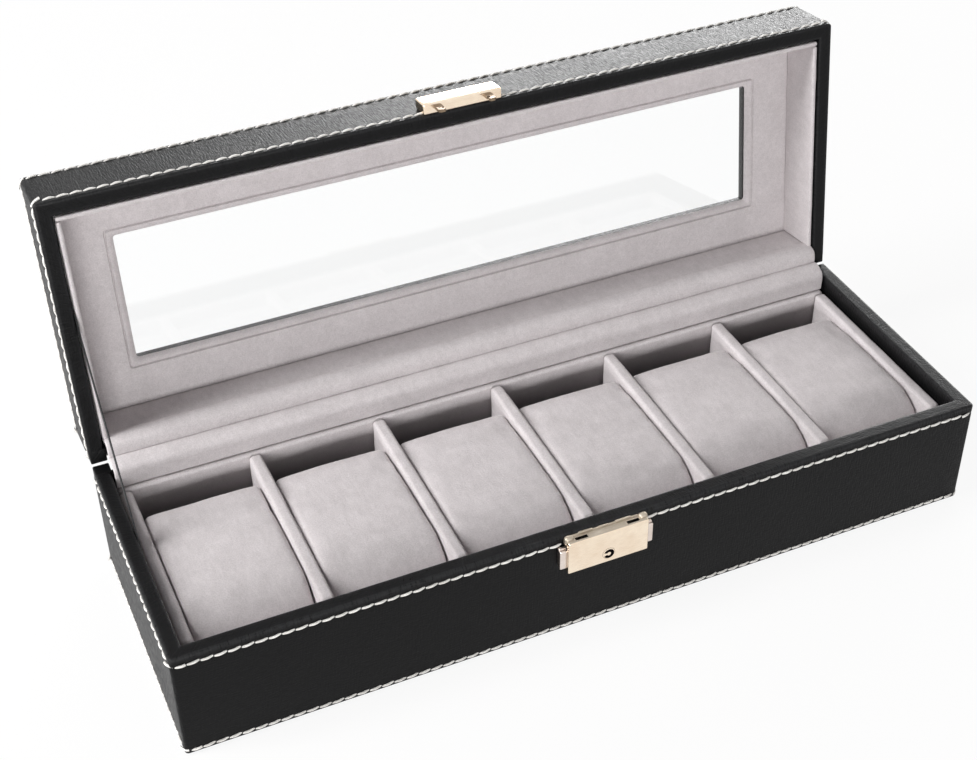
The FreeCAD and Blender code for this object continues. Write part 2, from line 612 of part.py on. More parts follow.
base_screws = [screw(f"base_screw_{n}", "base", f"{BAND_Y} - Sizes.leaf", at, BASE_SCREW_Z)
               for n, at in SCREWS]
keep(group("base_screws", base_screws), "hinge_base_screws")
lid_screws = [screw(f"lid_screw_{n}", "lid", f"{LID_BACK_BAND} - Sizes.leaf", at, "Sizes.screw_drop")
              for n, at in SCREWS]
keep(group("lid_screws", lid_screws), "hinge_lid_screws")

# Velvet strip over the hinges. Its outline is in Y and Z from the hinge axis with the lid open:
# up from the tray, a roll over the base's back wall, a groove, and a roll on to the lid's lining.
STRIP_OUTLINE = (
    ((-9.2, -5.8), None, (-9.3, 0.4)),
    ((-9.3, 0.4), (-8.6, 2.2), (-6.9, 2.9)),
    ((-6.9, 2.9), None, (-2.7, 3.9)),
    ((-2.7, 3.9), (-2.5, 6.9), (-0.1, 8.6)),
    ((-0.1, 8.6), None, (1.0, 8.4)),
    ((1.0, 8.4), (-1.1, 6.4), (-1.6, 3.0)),
    ((-1.6, 3.0), None, (-6.7, 1.7)),
    ((-6.7, 1.7), (-7.7, 1.3), (-8.1, 0.2)),
    ((-8.1, 0.2), None, (-8.0, -5.8)),
    ((-8.0, -5.8), None, (-9.2, -5.8)),
)


def strip_point(pair):
    """A point of the strip's outline at its left end."""
    return V(-size("strip_length") / 2, measured(HALF_Y) + pair[0], size("base_height") + pair[1])


strip_edges = []
for start, via, stop in STRIP_OUTLINE:
    if via is None:
        strip_edges.append(Part.LineSegment(strip_point(start), strip_point(stop)).toShape())
    else:
        strip_edges.append(Part.Arc(strip_point(start), strip_point(via), strip_point(stop)).toShape())
strip = doc.addObject("Part::Feature", "hinge_strip")
strip.Shape = Part.Face(Part.Wire(strip_edges)).extrude(V(size("strip_length"), 0, 0))
keep(strip, "hinge_cover_velvet")

# Stay ribbon, pulled straight between the base's left wall and the lid's, both ends tucked in
RISE_Y = f"({HALF_Y} - Sizes.ribbon_lid_reach * cos(Sizes.lid_open_angle) - Sizes.ribbon_base_y)"
RISE_Z = f"(Sizes.base_height + Sizes.ribbon_lid_reach * sin(Sizes.lid_open_angle) - {TRAY_Z})"
REACH = f"sqrt({RISE_Y} ^ 2 + {RISE_Z} ^ 2)"
ribbon = doc.addObject("Part::Box", "ribbon")
ribbon.setExpression("Length", "Sizes.ribbon_thickness")
ribbon.setExpression("Width", "Sizes.ribbon_width")
ribbon.setExpression("Height", f"{REACH} + Sizes.ribbon_base_tuck + Sizes.ribbon_lid_tuck")
BASE_TUCK = "Sizes.ribbon_base_tuck"
HALF_RIBBON = "Sizes.ribbon_width / 2"
ribbon_y = f"Sizes.ribbon_base_y - ({BASE_TUCK} * {RISE_Y} + {HALF_RIBBON} * {RISE_Z}) / {REACH}"
ribbon_z = f"{TRAY_Z} - ({BASE_TUCK} * {RISE_Z} - {HALF_RIBBON} * {RISE_Y}) / {REACH}"
place(ribbon, "base", f"-{BAND_X} + Sizes.ribbon_wall_gap", ribbon_y, ribbon_z,
      tilt=f"-atan({RISE_Y} / {RISE_Z}) / 1 deg")
keep(ribbon, "lid_stay_ribbon")

# Lock case: a shallow box open at the back, with hook slots, tab windows, plug bore and rivet posts
SIDE = "Sizes.lock_width / 2"
CASE_INSIDE = f"({SIDE} - Sizes.case_wall)"
case_outer = block("case_outer", "base", both(SIDE), (LOCK_FACE, f"-{HALF_Y}"), (LOCK_FOOT, LOCK_TOP))
case_hollow = block("case_hollow", "base", both(CASE_INSIDE), (LOCK_INSIDE, f"-{HALF_Y} + 1"),
                    (f"{LOCK_FOOT} + Sizes.case_wall", f"{LOCK_TOP} - Sizes.case_wall"))
case_parts = [cut("case_shell", case_outer, [case_hollow])]
case_cuts = [rod("plug_bore", "base", "Sizes.plug_radius + Sizes.plug_play",
                 (f"{LOCK_FACE} - 1", f"{LOCK_INSIDE} + 0.1"), "0", PLUG_Z)]
slot_from = "Sizes.hook_from - Sizes.slot_side_play"
slot_x = (slot_from, f"{slot_from} + Sizes.slot_width")
slot_y = (LOCK_INSIDE, f"{LOCK_INSIDE} + Sizes.slot_depth")
for side, sign in SIDES:
    post_x = f"{sign} * Sizes.post_from"
    case_parts.append(rod(f"post_{side}", "base", "Sizes.post_radius",
                          (f"{LOCK_INSIDE} - Sizes.case_wall / 2", f"-{HALF_Y}"), post_x, POST_Z))
    case_cuts.append(block(f"hook_slot_{side}", "base", mirrored(slot_x, sign), slot_y,
                           (f"{LOCK_TOP} - 2 * Sizes.case_wall", f"{LOCK_TOP} + 1")))
    case_cuts.append(block(f"tab_window_{side}", "base",
                           mirrored((f"{CASE_INSIDE} - 0.1", f"{SIDE} + 1"), sign),
                           (f"{TAB_FRONT} - Sizes.tab_play", f"-{HALF_Y} + 1"),
                           (f"{TAB_FOOT} - Sizes.tab_play", f"{TAB_TOP} + Sizes.tab_play")))
keep(cut("case", join("case_solid", case_parts), case_cuts + lock_rivet_holes), "lock_case")

# Release tabs with a claw for the hook and a bar that the cam can block, and their springs
TAB_DEPTH = (TAB_FRONT, TAB_BACK)
PLATE_FROM = f"({CASE_INSIDE} - Sizes.tab_plate)"
CLAW_TIP = "(Sizes.hook_from + Sizes.hook_notch - Sizes.claw_air)"
CLAW_FOOT = f"({BARB_TOP} + Sizes.claw_air)"


def tab_slab(side, part, x, y, z):
    """One block of a release tab, its X limits counted out from the middle."""
    return block(f"release_tab_{side}_{part}", "base", mirrored(x, dict(SIDES)[side]), y, z)


for side, sign in SIDES:
    flange_x = (f"{CASE_INSIDE} - Sizes.tab_play - Sizes.tab_flange", f"{CASE_INSIDE} - Sizes.tab_play")
    claw_end = f"{CLAW_TIP} - Sizes.claw_reach"
    bar_end = f"{PLATE_FROM} + 0.1"
    parts = [
        tab_slab(side, "plate", (PLATE_FROM, f"{SIDE} + Sizes.tab_reach"), TAB_DEPTH, (TAB_FOOT, TAB_TOP)),
        tab_slab(side, "flange", flange_x, TAB_DEPTH,
                 (f"{TAB_FOOT} - Sizes.tab_lip", f"{TAB_TOP} + Sizes.tab_lip")),
        tab_slab(side, "upper_bar", (claw_end, bar_end), TAB_DEPTH, (f"{TAB_TOP} - Sizes.tab_bar", TAB_TOP)),
        tab_slab(side, "claw", (claw_end, CLAW_TIP), (HOOK_FRONT, TAB_BACK),
                 (CLAW_FOOT, f"{CLAW_FOOT} + Sizes.claw_height")),
        tab_slab(side, "lower_bar", ("Sizes.cam_half + Sizes.cam_play", bar_end), TAB_DEPTH,
                 (f"{PLUG_Z} - Sizes.tab_bar / 2", f"{PLUG_Z} + Sizes.tab_bar / 2")),
    ]
    keep(join(f"release_tab_{side}_solid", parts), f"release_tab_{side}")
    spring_x = mirrored(("Sizes.post_from + Sizes.post_radius + Sizes.hole_play",
                         f"{PLATE_FROM} - Sizes.hole_play"), sign)
    spring_y = f"({TAB_FRONT} + {TAB_BACK}) / 2"
    coil = axle(f"spring_{side}_outside", "Sizes.spring_radius", spring_x, spring_y, POST_Z)
    eye = axle(f"spring_{side}_inside", "Sizes.spring_radius - Sizes.spring_wire", spring_x, spring_y,
               POST_Z)
    keep(cut(f"spring_{side}", coil, [eye]), f"tab_spring_{side}")

# Key plug with its cam upright, which leaves the tabs free
plug = join("plug_solid", [
    rod("plug_barrel", "base", "Sizes.plug_radius",
        (f"{LOCK_FACE} - Sizes.plug_proud", f"{TAB_FRONT} - Sizes.plug_back_air"), "0", PLUG_Z),
    rod("plug_hub", "base", "Sizes.hub_radius", (f"{TAB_FRONT} - 2 * Sizes.plug_back_air", TAB_BACK),
        "0", PLUG_Z),
    block("cam", "base", both("Sizes.cam_width / 2"), TAB_DEPTH,
          (f"{PLUG_Z} - Sizes.cam_half", f"{PLUG_Z} + Sizes.cam_half")),
])
key_depth = (f"{LOCK_FACE} - 1", f"{LOCK_FACE} - Sizes.plug_proud + Sizes.key_slot_depth")
keyhole = [rod("key_round", "base", "Sizes.key_slot", key_depth, "0", f"{PLUG_Z} + Sizes.key_slot"),
           block("key_slot_cut", "base", both("Sizes.key_slot / 2"), key_depth,
                 (f"{PLUG_Z} - 2 * Sizes.key_slot", f"{PLUG_Z} + Sizes.key_slot"))]
keep(cut("plug", plug, keyhole), "lock_plug")


def rivet(name, frame, face, inner, x, z):
    """A rivet seated behind an outer face, through a wall, with its head on the wall's inner face."""
    shank = rod(f"{name}_shank", frame, "Sizes.rivet_radius", (f"{face} - Sizes.rivet_seat", inner), x, z)
    head = rod(f"{name}_head", frame, "Sizes.rivet_head_radius", (inner, f"{inner} + Sizes.rivet_head"),
               x, z)
    return join(name, [shank, head])


lock_rivets = [rivet(f"lock_rivet_{side}", "base", f"-{HALF_Y}", f"-{INNER_Y}",
                     f"{sign} * Sizes.post_from", POST_Z) for side, sign in SIDES]
keep(group("lock_rivet_pair", lock_rivets), "lock_rivets")
strike_rivets = [rivet(f"strike_rivet_{side}", "lid", "-Sizes.box_depth", LID_FRONT_INNER,
                       f"{sign} * Sizes.post_from", "Sizes.strike_rivet_height") for side, sign in SIDES]
keep(group("strike_rivet_pair", strike_rivets), "strike_rivets")

# Strike on the lid's front wall, with two hooks that drop into the lock
STRIKE_TOP = "Sizes.strike_lift + Sizes.strike_height"
HOOK_TIP = "(Sizes.strike_lift - Sizes.hook_length)"
HOOK_Y = (f"{HOOK_FRONT} - {HALF_Y}", f"{HOOK_FRONT} - {HALF_Y} + Sizes.hook_thickness")
strike_parts = [block("strike_block", "lid", both("Sizes.strike_width / 2"),
                      ("-Sizes.box_depth - Sizes.lock_proud", "-Sizes.box_depth"),
                      ("Sizes.strike_lift", STRIKE_TOP))]
notches = []
for side, sign in SIDES:
    hook_x = mirrored(("Sizes.hook_from", "Sizes.hook_from + Sizes.hook_width"), sign)
    strike_parts.append(block(f"hook_{side}", "lid", hook_x, HOOK_Y, (HOOK_TIP, "Sizes.strike_lift + 1")))
    notch_x = mirrored(("Sizes.hook_from - 1", "Sizes.hook_from + Sizes.hook_notch"), sign)
    notches.append(block(f"hook_notch_{side}", "lid", notch_x, (f"{HOOK_Y[0]} - 1", f"{HOOK_Y[1]} + 1"),
                         (f"{HOOK_TIP} + Sizes.barb", f"{HOOK_TIP} + Sizes.barb + Sizes.notch_height")))
keep(cut("strike", join("strike_solid", strike_parts), notches + strike_rivet_holes), "strike_plate")

doc.recompute()
for item in doc.Objects:
    if "Invalid" in item.State or "Error" in item.State:
        raise RuntimeError(f"{item.Name} failed: {item.State}")
os.makedirs("parts", exist_ok=True)
for piece in pieces:
    if piece.Shape.isNull() or not piece.Shape.isValid() or not piece.Shape.Solids:
        raise RuntimeError(f"{piece.Label} is not a valid solid")
for piece in pieces:
    piece.Shape.exportStep(f"parts/{piece.Label}.step")
    box = piece.Shape.BoundBox
    print(f"{piece.Label}: {len(piece.Shape.Solids)} solid(s), {piece.Shape.Volume:.1f} mm3,"
          f" X {box.XMin:.2f} to {box.XMax:.2f}, Y {box.YMin:.2f} to {box.YMax:.2f},"
          f" Z {box.ZMin:.2f} to {box.ZMax:.2f}")
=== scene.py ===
"""A box for six wrist watches, dressed round its CAD frame.

The case is black grained leather cloth with pale stitching. The tray, the pillows and the lid's lining are
grey velvet, the lid has a clear pane, and the lock and its strike are champagne-plated metal.
"""

import logging
import math
from collections.abc import Callable, Sequence
from dataclasses import dataclass, field
from enum import Enum

import bmesh
import bpy
from mathutils import Matrix, Vector, noise


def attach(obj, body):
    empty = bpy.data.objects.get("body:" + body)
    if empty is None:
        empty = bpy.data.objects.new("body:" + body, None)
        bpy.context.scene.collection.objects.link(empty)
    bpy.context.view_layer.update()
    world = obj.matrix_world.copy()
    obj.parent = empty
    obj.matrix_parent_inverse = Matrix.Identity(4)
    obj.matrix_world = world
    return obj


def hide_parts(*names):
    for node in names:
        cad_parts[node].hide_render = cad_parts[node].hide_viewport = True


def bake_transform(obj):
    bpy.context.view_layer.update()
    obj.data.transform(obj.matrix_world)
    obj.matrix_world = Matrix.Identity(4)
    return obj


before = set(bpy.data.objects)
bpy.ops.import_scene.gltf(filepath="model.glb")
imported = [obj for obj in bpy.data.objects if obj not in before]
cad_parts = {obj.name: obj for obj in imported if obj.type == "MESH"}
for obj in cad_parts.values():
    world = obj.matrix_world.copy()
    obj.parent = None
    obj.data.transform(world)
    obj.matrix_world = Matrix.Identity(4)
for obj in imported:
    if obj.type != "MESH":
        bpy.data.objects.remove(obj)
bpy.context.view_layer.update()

MM = 0.001
MERGE = 1e-4
LOG = logging.getLogger("watch_box")

Colour = tuple[float, float, float]
Pair = tuple[float, float]


class Body(Enum):
    """The CAD bodies that most pieces ride on."""

    BASE = "base"
    LID = "lid"
    TAB_LEFT = "release_tab_left"
    TAB_RIGHT = "release_tab_right"
    PLUG = "lock_plug"


class Slot(Enum):
    """The material slots of the dressed pieces, by name."""

    LEATHER = "leather"
    VELVET = "velvet"
    RIBBON = "ribbon"
    LOCK = "lock_metal"
    STEEL = "steel"


class Wire:
    """A node's output socket on which arithmetic adds Math nodes."""

    def __init__(self, graph: "Graph", socket: bpy.types.NodeSocket) -> None:
        """Keeps the graph and the socket."""
        self.graph = graph
        self.socket = socket

    def _math(self, operation: str, *values: "Wire | float") -> "Wire":
        """Adds a Math node.

        Args:
            operation: Blender's name of the operation.
            values: its operands in order.

        Returns:
            The node's result.
        """
        inputs = dict(enumerate(values))
        return self.graph.node("ShaderNodeMath", {"operation": operation}, inputs)[0]

    def __add__(self, other: "Wire | float") -> "Wire":
        """Self plus other."""
        return self._math("ADD", self, other)

    def __radd__(self, other: float) -> "Wire":
        """Other plus self."""
        return self._math("ADD", other, self)

    def __sub__(self, other: "Wire | float") -> "Wire":
        """Self minus other."""
        return self._math("SUBTRACT", self, other)

    def __rsub__(self, other: float) -> "Wire":
        """Other minus self."""
        return self._math("SUBTRACT", other, self)

    def __mul__(self, other: "Wire | float") -> "Wire":
        """Self times other."""
        return self._math("MULTIPLY", self, other)

    def __pow__(self, other: float) -> "Wire":
        """Self to a power."""
        return self._math("POWER", self, other)

    def larger(self, other: "Wire | float") -> "Wire":
        """The larger of self and other."""
        return self._math("MAXIMUM", self, other)

    def ramp(self, low: float, high: float) -> "Wire":
        """Zero below low, one above high, and even between."""
        settings = {"clamp": True}
        inputs = {"Value": self, "From Min": low, "From Max": high, "To Min": 0.0, "To Max": 1.0}
        return self.graph.node("ShaderNodeMapRange", settings, inputs)[0]


class Outputs:
    """A new node whose outputs are read by name or by number."""

    def __init__(self, graph: "Graph", node: bpy.types.Node) -> None:
        """Keeps the graph and the node."""
        self.graph = graph
        self.node = node

    def __getitem__(self, key: str | int) -> Wire:
        """The output of that name or number."""
        return Wire(self.graph, self.node.outputs[key])


class Graph:
    """A node tree under construction."""

    def __init__(self, tree: bpy.types.NodeTree) -> None:
        """Keeps the tree and empties it."""
        self.tree = tree
        tree.nodes.clear()

    def node(self, kind: str, settings: dict | None = None, inputs: dict | None = None) -> Outputs:
        """Adds a node.

        Args:
            kind: the node's type.
            settings: its properties, set first.
            inputs: values or wires for its sockets, by name or number.

        Returns:
            The node's outputs.
        """
        node = self.tree.nodes.new(kind)
        for name, value in (settings or {}).items():
            setattr(node, name, value)
        for key, value in (inputs or {}).items():
            if isinstance(value, Wire):
                self.tree.links.new(value.socket, node.inputs[key])
            else:
                node.inputs[key].default_value = value
        return Outputs(self, node)

    def blend(self, factor: Wire | float, first: Colour | Wire, second: Colour | Wire) -> Wire:
        """A mix of two colours.

        Args:
            factor: the share of the second.
            first: a colour or a wire.
            second: a colour or a wire.

        Returns:
            The mixed colour.
        """
        sockets = {"Factor": factor, 6: rgba(first), 7: rgba(second)}
        return self.node("ShaderNodeMix", {"data_type": "RGBA"}, sockets)[2]

    def place(self) -> Wire:
        """The place on the piece in Object coordinates."""
        return self.node("ShaderNodeTexCoord")["Object"]

    def noise(self, place: Wire, scale: float, detail: float = 2.0, rough: float = 0.5) -> Wire:
        """Noise from 0 to 1 over a place."""
        inputs = {"Vector": place, "Scale": scale, "Detail": detail, "Roughness": rough}
        return self.node("ShaderNodeTexNoise", {}, inputs)["Fac"]

    def stretch(self, place: Wire, factors: tuple[float, float, float]) -> Wire:
        """A place with each axis multiplied by its own factor."""
        return self.node("ShaderNodeVectorMath", {"operation": "MULTIPLY"}, {0: place, 1: factors})[0]

    def bump(self, height: Wire, strength: float, distance: float) -> Wire:
        """A normal bent by a height in units of that distance."""
        inputs = {"Height": height, "Strength": strength, "Distance": distance}
        return self.node("ShaderNodeBump", {}, inputs)["Normal"]


def rgba(colour: Colour | Wire) -> tuple[float, float, float, float] | Wire:
    """A colour with its alpha, or the wire as it is."""
    return colour if isinstance(colour, Wire) else (*colour, 1.0)


def srgb(red: int, green: int, blue: int) -> Colour:
    """Linear light of a screen colour given from 0 to 255."""

    def linear(value: float) -> float:
        """One channel from screen value to linear light."""
        value /= 255
        return value / 12.92 if value <= 0.04045 else ((value + 0.055) / 1.055) ** 2.4

    return linear(red), linear(green), linear(blue)


@dataclass(frozen=True)
class Finish:
    """A material with its own nodes; each kind fills in paint()."""

    name: str

    def paint(self, graph: Graph) -> dict:
        """The sockets of the main shader, as values or wires."""
        raise NotImplementedError

    def material(self) -> bpy.types.Material:
        """The material of this finish, made once."""
        found = bpy.data.materials.get(self.name)
        if found:
            return found
        material = bpy.data.materials.new(self.name)
        material.use_nodes = True
        graph = Graph(material.node_tree)
        shader = graph.node("ShaderNodeBsdfPrincipled", {}, self.paint(graph))
        graph.node("ShaderNodeOutputMaterial", {}, {"Surface": shader["BSDF"]})
        return material


@dataclass(frozen=True)
class Leather(Finish):
    """Grained leather cloth whose grain follows the piece's own UV map, in metres."""

    dye: Colour = (0.0035, 0.0035, 0.0038)
    worn: Colour = (0.02, 0.02, 0.021)
    threads: float = 1700.0
    rough: float = 0.41
    shine: float = 0.11

    def paint(self, graph: Graph) -> dict:
        """Cross grain like pressed linen, slow waviness and paler, smoother edges; the paler edges are partly
        wear and partly painted highlight.
        """
        cloth = graph.node("ShaderNodeUVMap", {"uv_map": "cloth"})["UV"]
        warp = graph.noise(graph.stretch(cloth, (self.threads, self.threads * 0.16, 1.0)), 1.0, 1.0)
        weft = graph.noise(graph.stretch(cloth, (self.threads * 0.2, self.threads, 1.0)), 1.0, 1.0)
        pores = graph.noise(cloth, self.threads * 1.9, 1.0)
        slow = graph.noise(cloth, 34.0, 2.0)
        # Edge paleness per point: partly wear, partly painted highlight along the rims.
        edge = graph.node("ShaderNodeAttribute", {"attribute_name": "wear"})["Fac"]
        grain = (warp * 0.5 + weft * 0.3 + pores * 0.2).ramp(0.36, 0.64)
        rubbed_and_highlight = edge * (0.35 + grain * 0.9) + grain * 0.04
        return {
            "Base Color": graph.blend(rubbed_and_highlight, self.dye, self.worn),
            "Roughness": self.rough + (grain - 0.5) * 0.24 + (slow - 0.5) * 0.1 - edge * 0.06,
            "Specular IOR Level": self.shine,
            "Normal": graph.bump(grain * 0.7 + slow * 0.8, 0.6, 0.00018),
        }


@dataclass(frozen=True)
class Velvet(Finish):
    """Short grey pile, brushed unevenly, with the mottling in Object coordinates; some copies carry painted
    shade lower down.
    """

    light: Colour = srgb(212, 206, 207)
    shade: Colour = srgb(190, 184, 185)
    sheen: float = 0.18
    # Painted shade: below one, the colour is this much darker at the lower of the levels (heights in
    # millimetres) and fades back to its own at the upper.
    painted_shade_tone: float = 1.0
    levels: Pair = (0.0, 1.0)

    def paint(self, graph: Graph) -> dict:
        """Soft patches of brushed pile over a fine nap, with painted shade low down in a slot."""
        place = graph.place()
        patches = graph.noise(graph.stretch(place, (1.0, 1.6, 1.0)), 85.0, 3.0, 0.6)
        strokes = graph.noise(graph.stretch(place, (1.0, 0.35, 1.0)), 520.0, 2.0)
        pile = graph.noise(place, 2300.0, 2.0, 0.65)
        tone = (patches * 0.25 + strokes * 0.2 + pile * 0.55).ramp(0.38, 0.62)
        return {
            "Base Color": self.with_painted_shade(graph, place, graph.blend(tone, self.shade, self.light)),
            "Roughness": 0.86 + pile * 0.12,
            "Specular IOR Level": 0.12,
            "Sheen Weight": self.sheen,
            "Sheen Roughness": 0.42,
            "Sheen Tint": (1.0, 0.97, 0.97, 1.0),
            "Normal": graph.bump(pile * 0.8 + strokes * 0.4 + patches * 0.2, 0.5, 0.00025),
        }

    def with_painted_shade(self, graph: Graph, place: Wire, colour: Wire) -> Wire:
        """The colour, darkened towards the bottom by painted shade, darkest at the lower of the levels."""
        if self.painted_shade_tone >= 1.0:
            return colour
        height = graph.node("ShaderNodeSeparateXYZ", {}, {"Vector": place})["Z"]
        low, high = (level * MM for level in self.levels)
        return graph.blend(height.ramp(low, high), tuple(part * self.painted_shade_tone for part in self.shade), colour)


@dataclass(frozen=True)
class Speckled(Finish):
    """A plain stuff with a fine speckle in Object coordinates, and for some coarser patches under it."""

    first: Colour
    second: Colour
    speckle: tuple[float, float, float]
    spread: Pair
    rough: Pair
    relief: Pair
    patches: tuple[float, float, float] | None = None
    constants: tuple[tuple[str, float], ...] = ()

    def paint(self, graph: Graph) -> dict:
        """Two tones and a roughness that follow the speckle."""
        place = graph.place()
        speck = graph.noise(place, *self.speckle)
        tone = speck
        if self.patches:
            scale, detail, share = self.patches
            tone = speck * (1.0 - share) + graph.noise(place, scale, detail) * share
        base, change = self.rough
        return {
            "Base Color": graph.blend(tone.ramp(*self.spread), self.first, self.second),
            "Roughness": base + speck * change,
            "Normal": graph.bump(speck, *self.relief),
            **dict(self.constants),
        }


@dataclass(frozen=True)
class Plating(Finish):
    """Polished plating over pressed sheet, with faint lengthwise rubbing."""

    tint: Colour = srgb(250, 235, 214)
    dull: Colour = srgb(230, 206, 180)
    rough: float = 0.2

    def paint(self, graph: Graph) -> dict:
        """Clouding and fine rubbing lines along the length."""
        place = graph.place()
        cloud = graph.noise(place, 130.0, 3.0)
        lines = graph.noise(graph.stretch(place, (0.06, 1.0, 1.0)), 5200.0, 2.0)
        return {
            "Base Color": graph.blend((cloud * 0.6 + lines * 0.4).ramp(0.32, 0.8), self.tint, self.dull),
            "Metallic": 1.0,
            "Roughness": self.rough + (cloud - 0.5) * 0.14 + (lines - 0.5) * 0.12,
            "Normal": graph.bump(lines * 0.5 + cloud, 0.12, 0.0001),
        }


@dataclass(frozen=True)
class Satin(Finish):
    """Black ribbon with fine cross ribs."""

    dye: Colour = (0.006, 0.006, 0.0065)
    rib: Colour = (0.02, 0.02, 0.021)

    def paint(self, graph: Graph) -> dict:
        """Ribs across the ribbon, by its UV map in metres."""
        cloth = graph.node("ShaderNodeUVMap", {"uv_map": "cloth"})["UV"]
        ribs = graph.noise(graph.stretch(cloth, (300.0, 2600.0, 1.0)), 1.0, 1.0)
        return {
            "Base Color": graph.blend(ribs.ramp(0.35, 0.65), self.dye, self.rib),
            "Roughness": 0.5 + (ribs - 0.5) * 0.2,
            "Specular IOR Level": 0.3,
            "Normal": graph.bump(ribs, 0.4, 0.0001),
        }


@dataclass(frozen=True)
class ClearPane(Finish):
    """Clear sheet with a trace of wiping marks."""

    tint: Colour = (0.985, 0.99, 0.99)

    def paint(self, graph: Graph) -> dict:
        """Nearly smooth, so that what lies behind stays sharp."""
        place = graph.place()
        wiped = graph.noise(graph.stretch(place, (1.0, 6.0, 6.0)), 22.0, 3.0)
        return {
            "Base Color": rgba(self.tint),
            "Roughness": wiped.ramp(0.5, 1.0) * 0.03,
            "IOR": 1.46,
            "Transmission Weight": 1.0,
            "Specular IOR Level": 0.5,
        }


LEATHER = Leather("black_leather_cloth")
VELVET = Velvet("grey_velvet")
# Velvet with painted shade towards the bottom: the tray's back board in the slots, and the pillows' lower
# fronts.
SLOT_VELVET_PAINTED_SHADE = Velvet("slot_velvet", painted_shade_tone=0.36, levels=(26.0, 39.0))
PILLOW_VELVET_PAINTED_SHADE = Velvet("pillow_velvet", painted_shade_tone=0.76, levels=(16.0, 36.0))
THREAD = Speckled("pale_thread", srgb(196, 192, 187), srgb(244, 242, 238), speckle=(5200.0, 1.0, 0.5),
                  spread=(0.3, 0.62), rough=(0.72, 0.15), relief=(0.5, 0.00008), patches=(240.0, 2.0, 0.4),
                  constants=(("Specular IOR Level", 0.3),))
PLATING = Plating("champagne_plating")
# Darker plating on the hooks: painted shade for their shadowed outlines.
HOOK_PLATING_PAINTED_SHADE = Plating("dull_hook_plating", srgb(150, 132, 112), srgb(96, 80, 64), 0.4)
# A darker, rougher plating for the case's upward top faces and for the back plate.
DARKER_PLATING = Plating("aged_plating", srgb(192, 182, 168), srgb(150, 138, 122), 0.5)
TAB_PLATING = Plating("pale_tab_plating", srgb(232, 220, 212), srgb(205, 190, 180), 0.3)
# Flat black: painted shade on the cut faces inside the lock and in the key slot, and the black of the panels.
BLACK_BOARD_AND_SHADE = Speckled("black_recess", (0.004, 0.004, 0.0042), (0.012, 0.012, 0.012), speckle=(700.0, 3.0, 0.5),
                  spread=(0.45, 0.75), rough=(0.7, 0.2), relief=(0.2, 0.0001),
                  constants=(("Specular IOR Level", 0.1),))
BOARD = Speckled("fibreboard", srgb(136, 106, 76), srgb(176, 146, 110), speckle=(1500.0, 3.0, 0.7),
                 spread=(0.35, 0.66), rough=(0.82, 0.1), relief=(0.3, 0.00015), patches=(90.0, 2.0, 0.3))
FELT = Speckled("black_flock", srgb(24, 24, 26), srgb(46, 46, 48), speckle=(2600.0, 2.0, 0.7),
                spread=(0.32, 0.68), rough=(0.85, 0.1), relief=(0.4, 0.0002), patches=(60.0, 3.0, 0.3),
                constants=(("Specular IOR Level", 0.15),))
RIBBON = Satin("black_ribbon")
STEEL = Speckled("zinc_steel", srgb(190, 190, 186), srgb(140, 140, 136), speckle=(420.0, 3.0, 0.5),
                 spread=(0.35, 0.7), rough=(0.28, 0.2), relief=(0.1, 0.0001), constants=(("Metallic", 1.0),))
PANE = ClearPane("clear_sheet")


@dataclass
class Form:
    """Points, in millimetres, and faces of one piece before it becomes an object."""

    points: list[Vector] = field(default_factory=list)
    faces: list[tuple[int, ...]] = field(default_factory=list)
    cloth: list[tuple[Pair, ...]] = field(default_factory=list)
    wear: list[float] = field(default_factory=list)

    def moved(self, place: Callable[[Vector], Vector]) -> "Form":
        """The same form with every point put through place."""
        self.points = [place(point) for point in self.points]
        return self

    def add(self, other: "Form") -> "Form":
        """This form with another's points and faces."""
        start = len(self.points)
        self.points += other.points
        self.faces += [tuple(index + start for index in face) for face in other.faces]
        self.cloth += other.cloth
        self.wear += other.wear
        return self

    def mesh(self, name: str) -> bpy.types.Mesh:
        """The form as a Blender mesh in metres.

        Args:
            name: the mesh's name.

        Returns:
            A mesh with faces that point outwards.
        """
        mesh = bpy.data.meshes.new(name)
        mesh.from_pydata([point * MM for point in self.points], [], self.faces)
        if self.cloth:
            layer = mesh.uv_layers.new(name="cloth")
            flat = [value * MM for face in self.cloth for pair in face for value in pair]
            layer.data.foreach_set("uv", flat)
        if self.wear:
            mesh.attributes.new("wear", "FLOAT", "POINT").data.foreach_set("value", self.wear)
        shape = bmesh.new()
        shape.from_mesh(mesh)
        bmesh.ops.remove_doubles(shape, verts=shape.verts, dist=MERGE * MM)
        bmesh.ops.recalc_face_normals(shape, faces=shape.faces)
        shape.to_mesh(mesh)
        shape.free()
        return mesh


def new_object(mesh: bpy.types.Mesh, finish: Finish | None, crease: float = 38.0) -> bpy.types.Object:
    """An object at the origin for a finished mesh.

    Args:
        mesh: the mesh, in metres and in place.
        finish: its finish, or None to keep its materials.
        crease: edges sharper than this many degrees stay sharp.

    Returns:
        The object, linked to the scene.
    """
    if finish:
        mesh.materials.clear()
        mesh.materials.append(finish.material())
    mesh.shade_smooth()
    mesh.set_sharp_from_angle(angle=math.radians(crease))
    thing = bpy.data.objects.new(mesh.name, mesh)
    bpy.context.scene.collection.objects.link(thing)
    return thing


def baked(thing: bpy.types.Object) -> bpy.types.Object:
    """The same object with its modifiers worked into its mesh."""
    thing.data.update()
    evaluated = thing.evaluated_get(bpy.context.evaluated_depsgraph_get())
    mesh = bpy.data.meshes.new_from_object(evaluated)
    mesh.name = thing.name
    thing.modifiers.clear()
    thing.data = mesh
    return thing


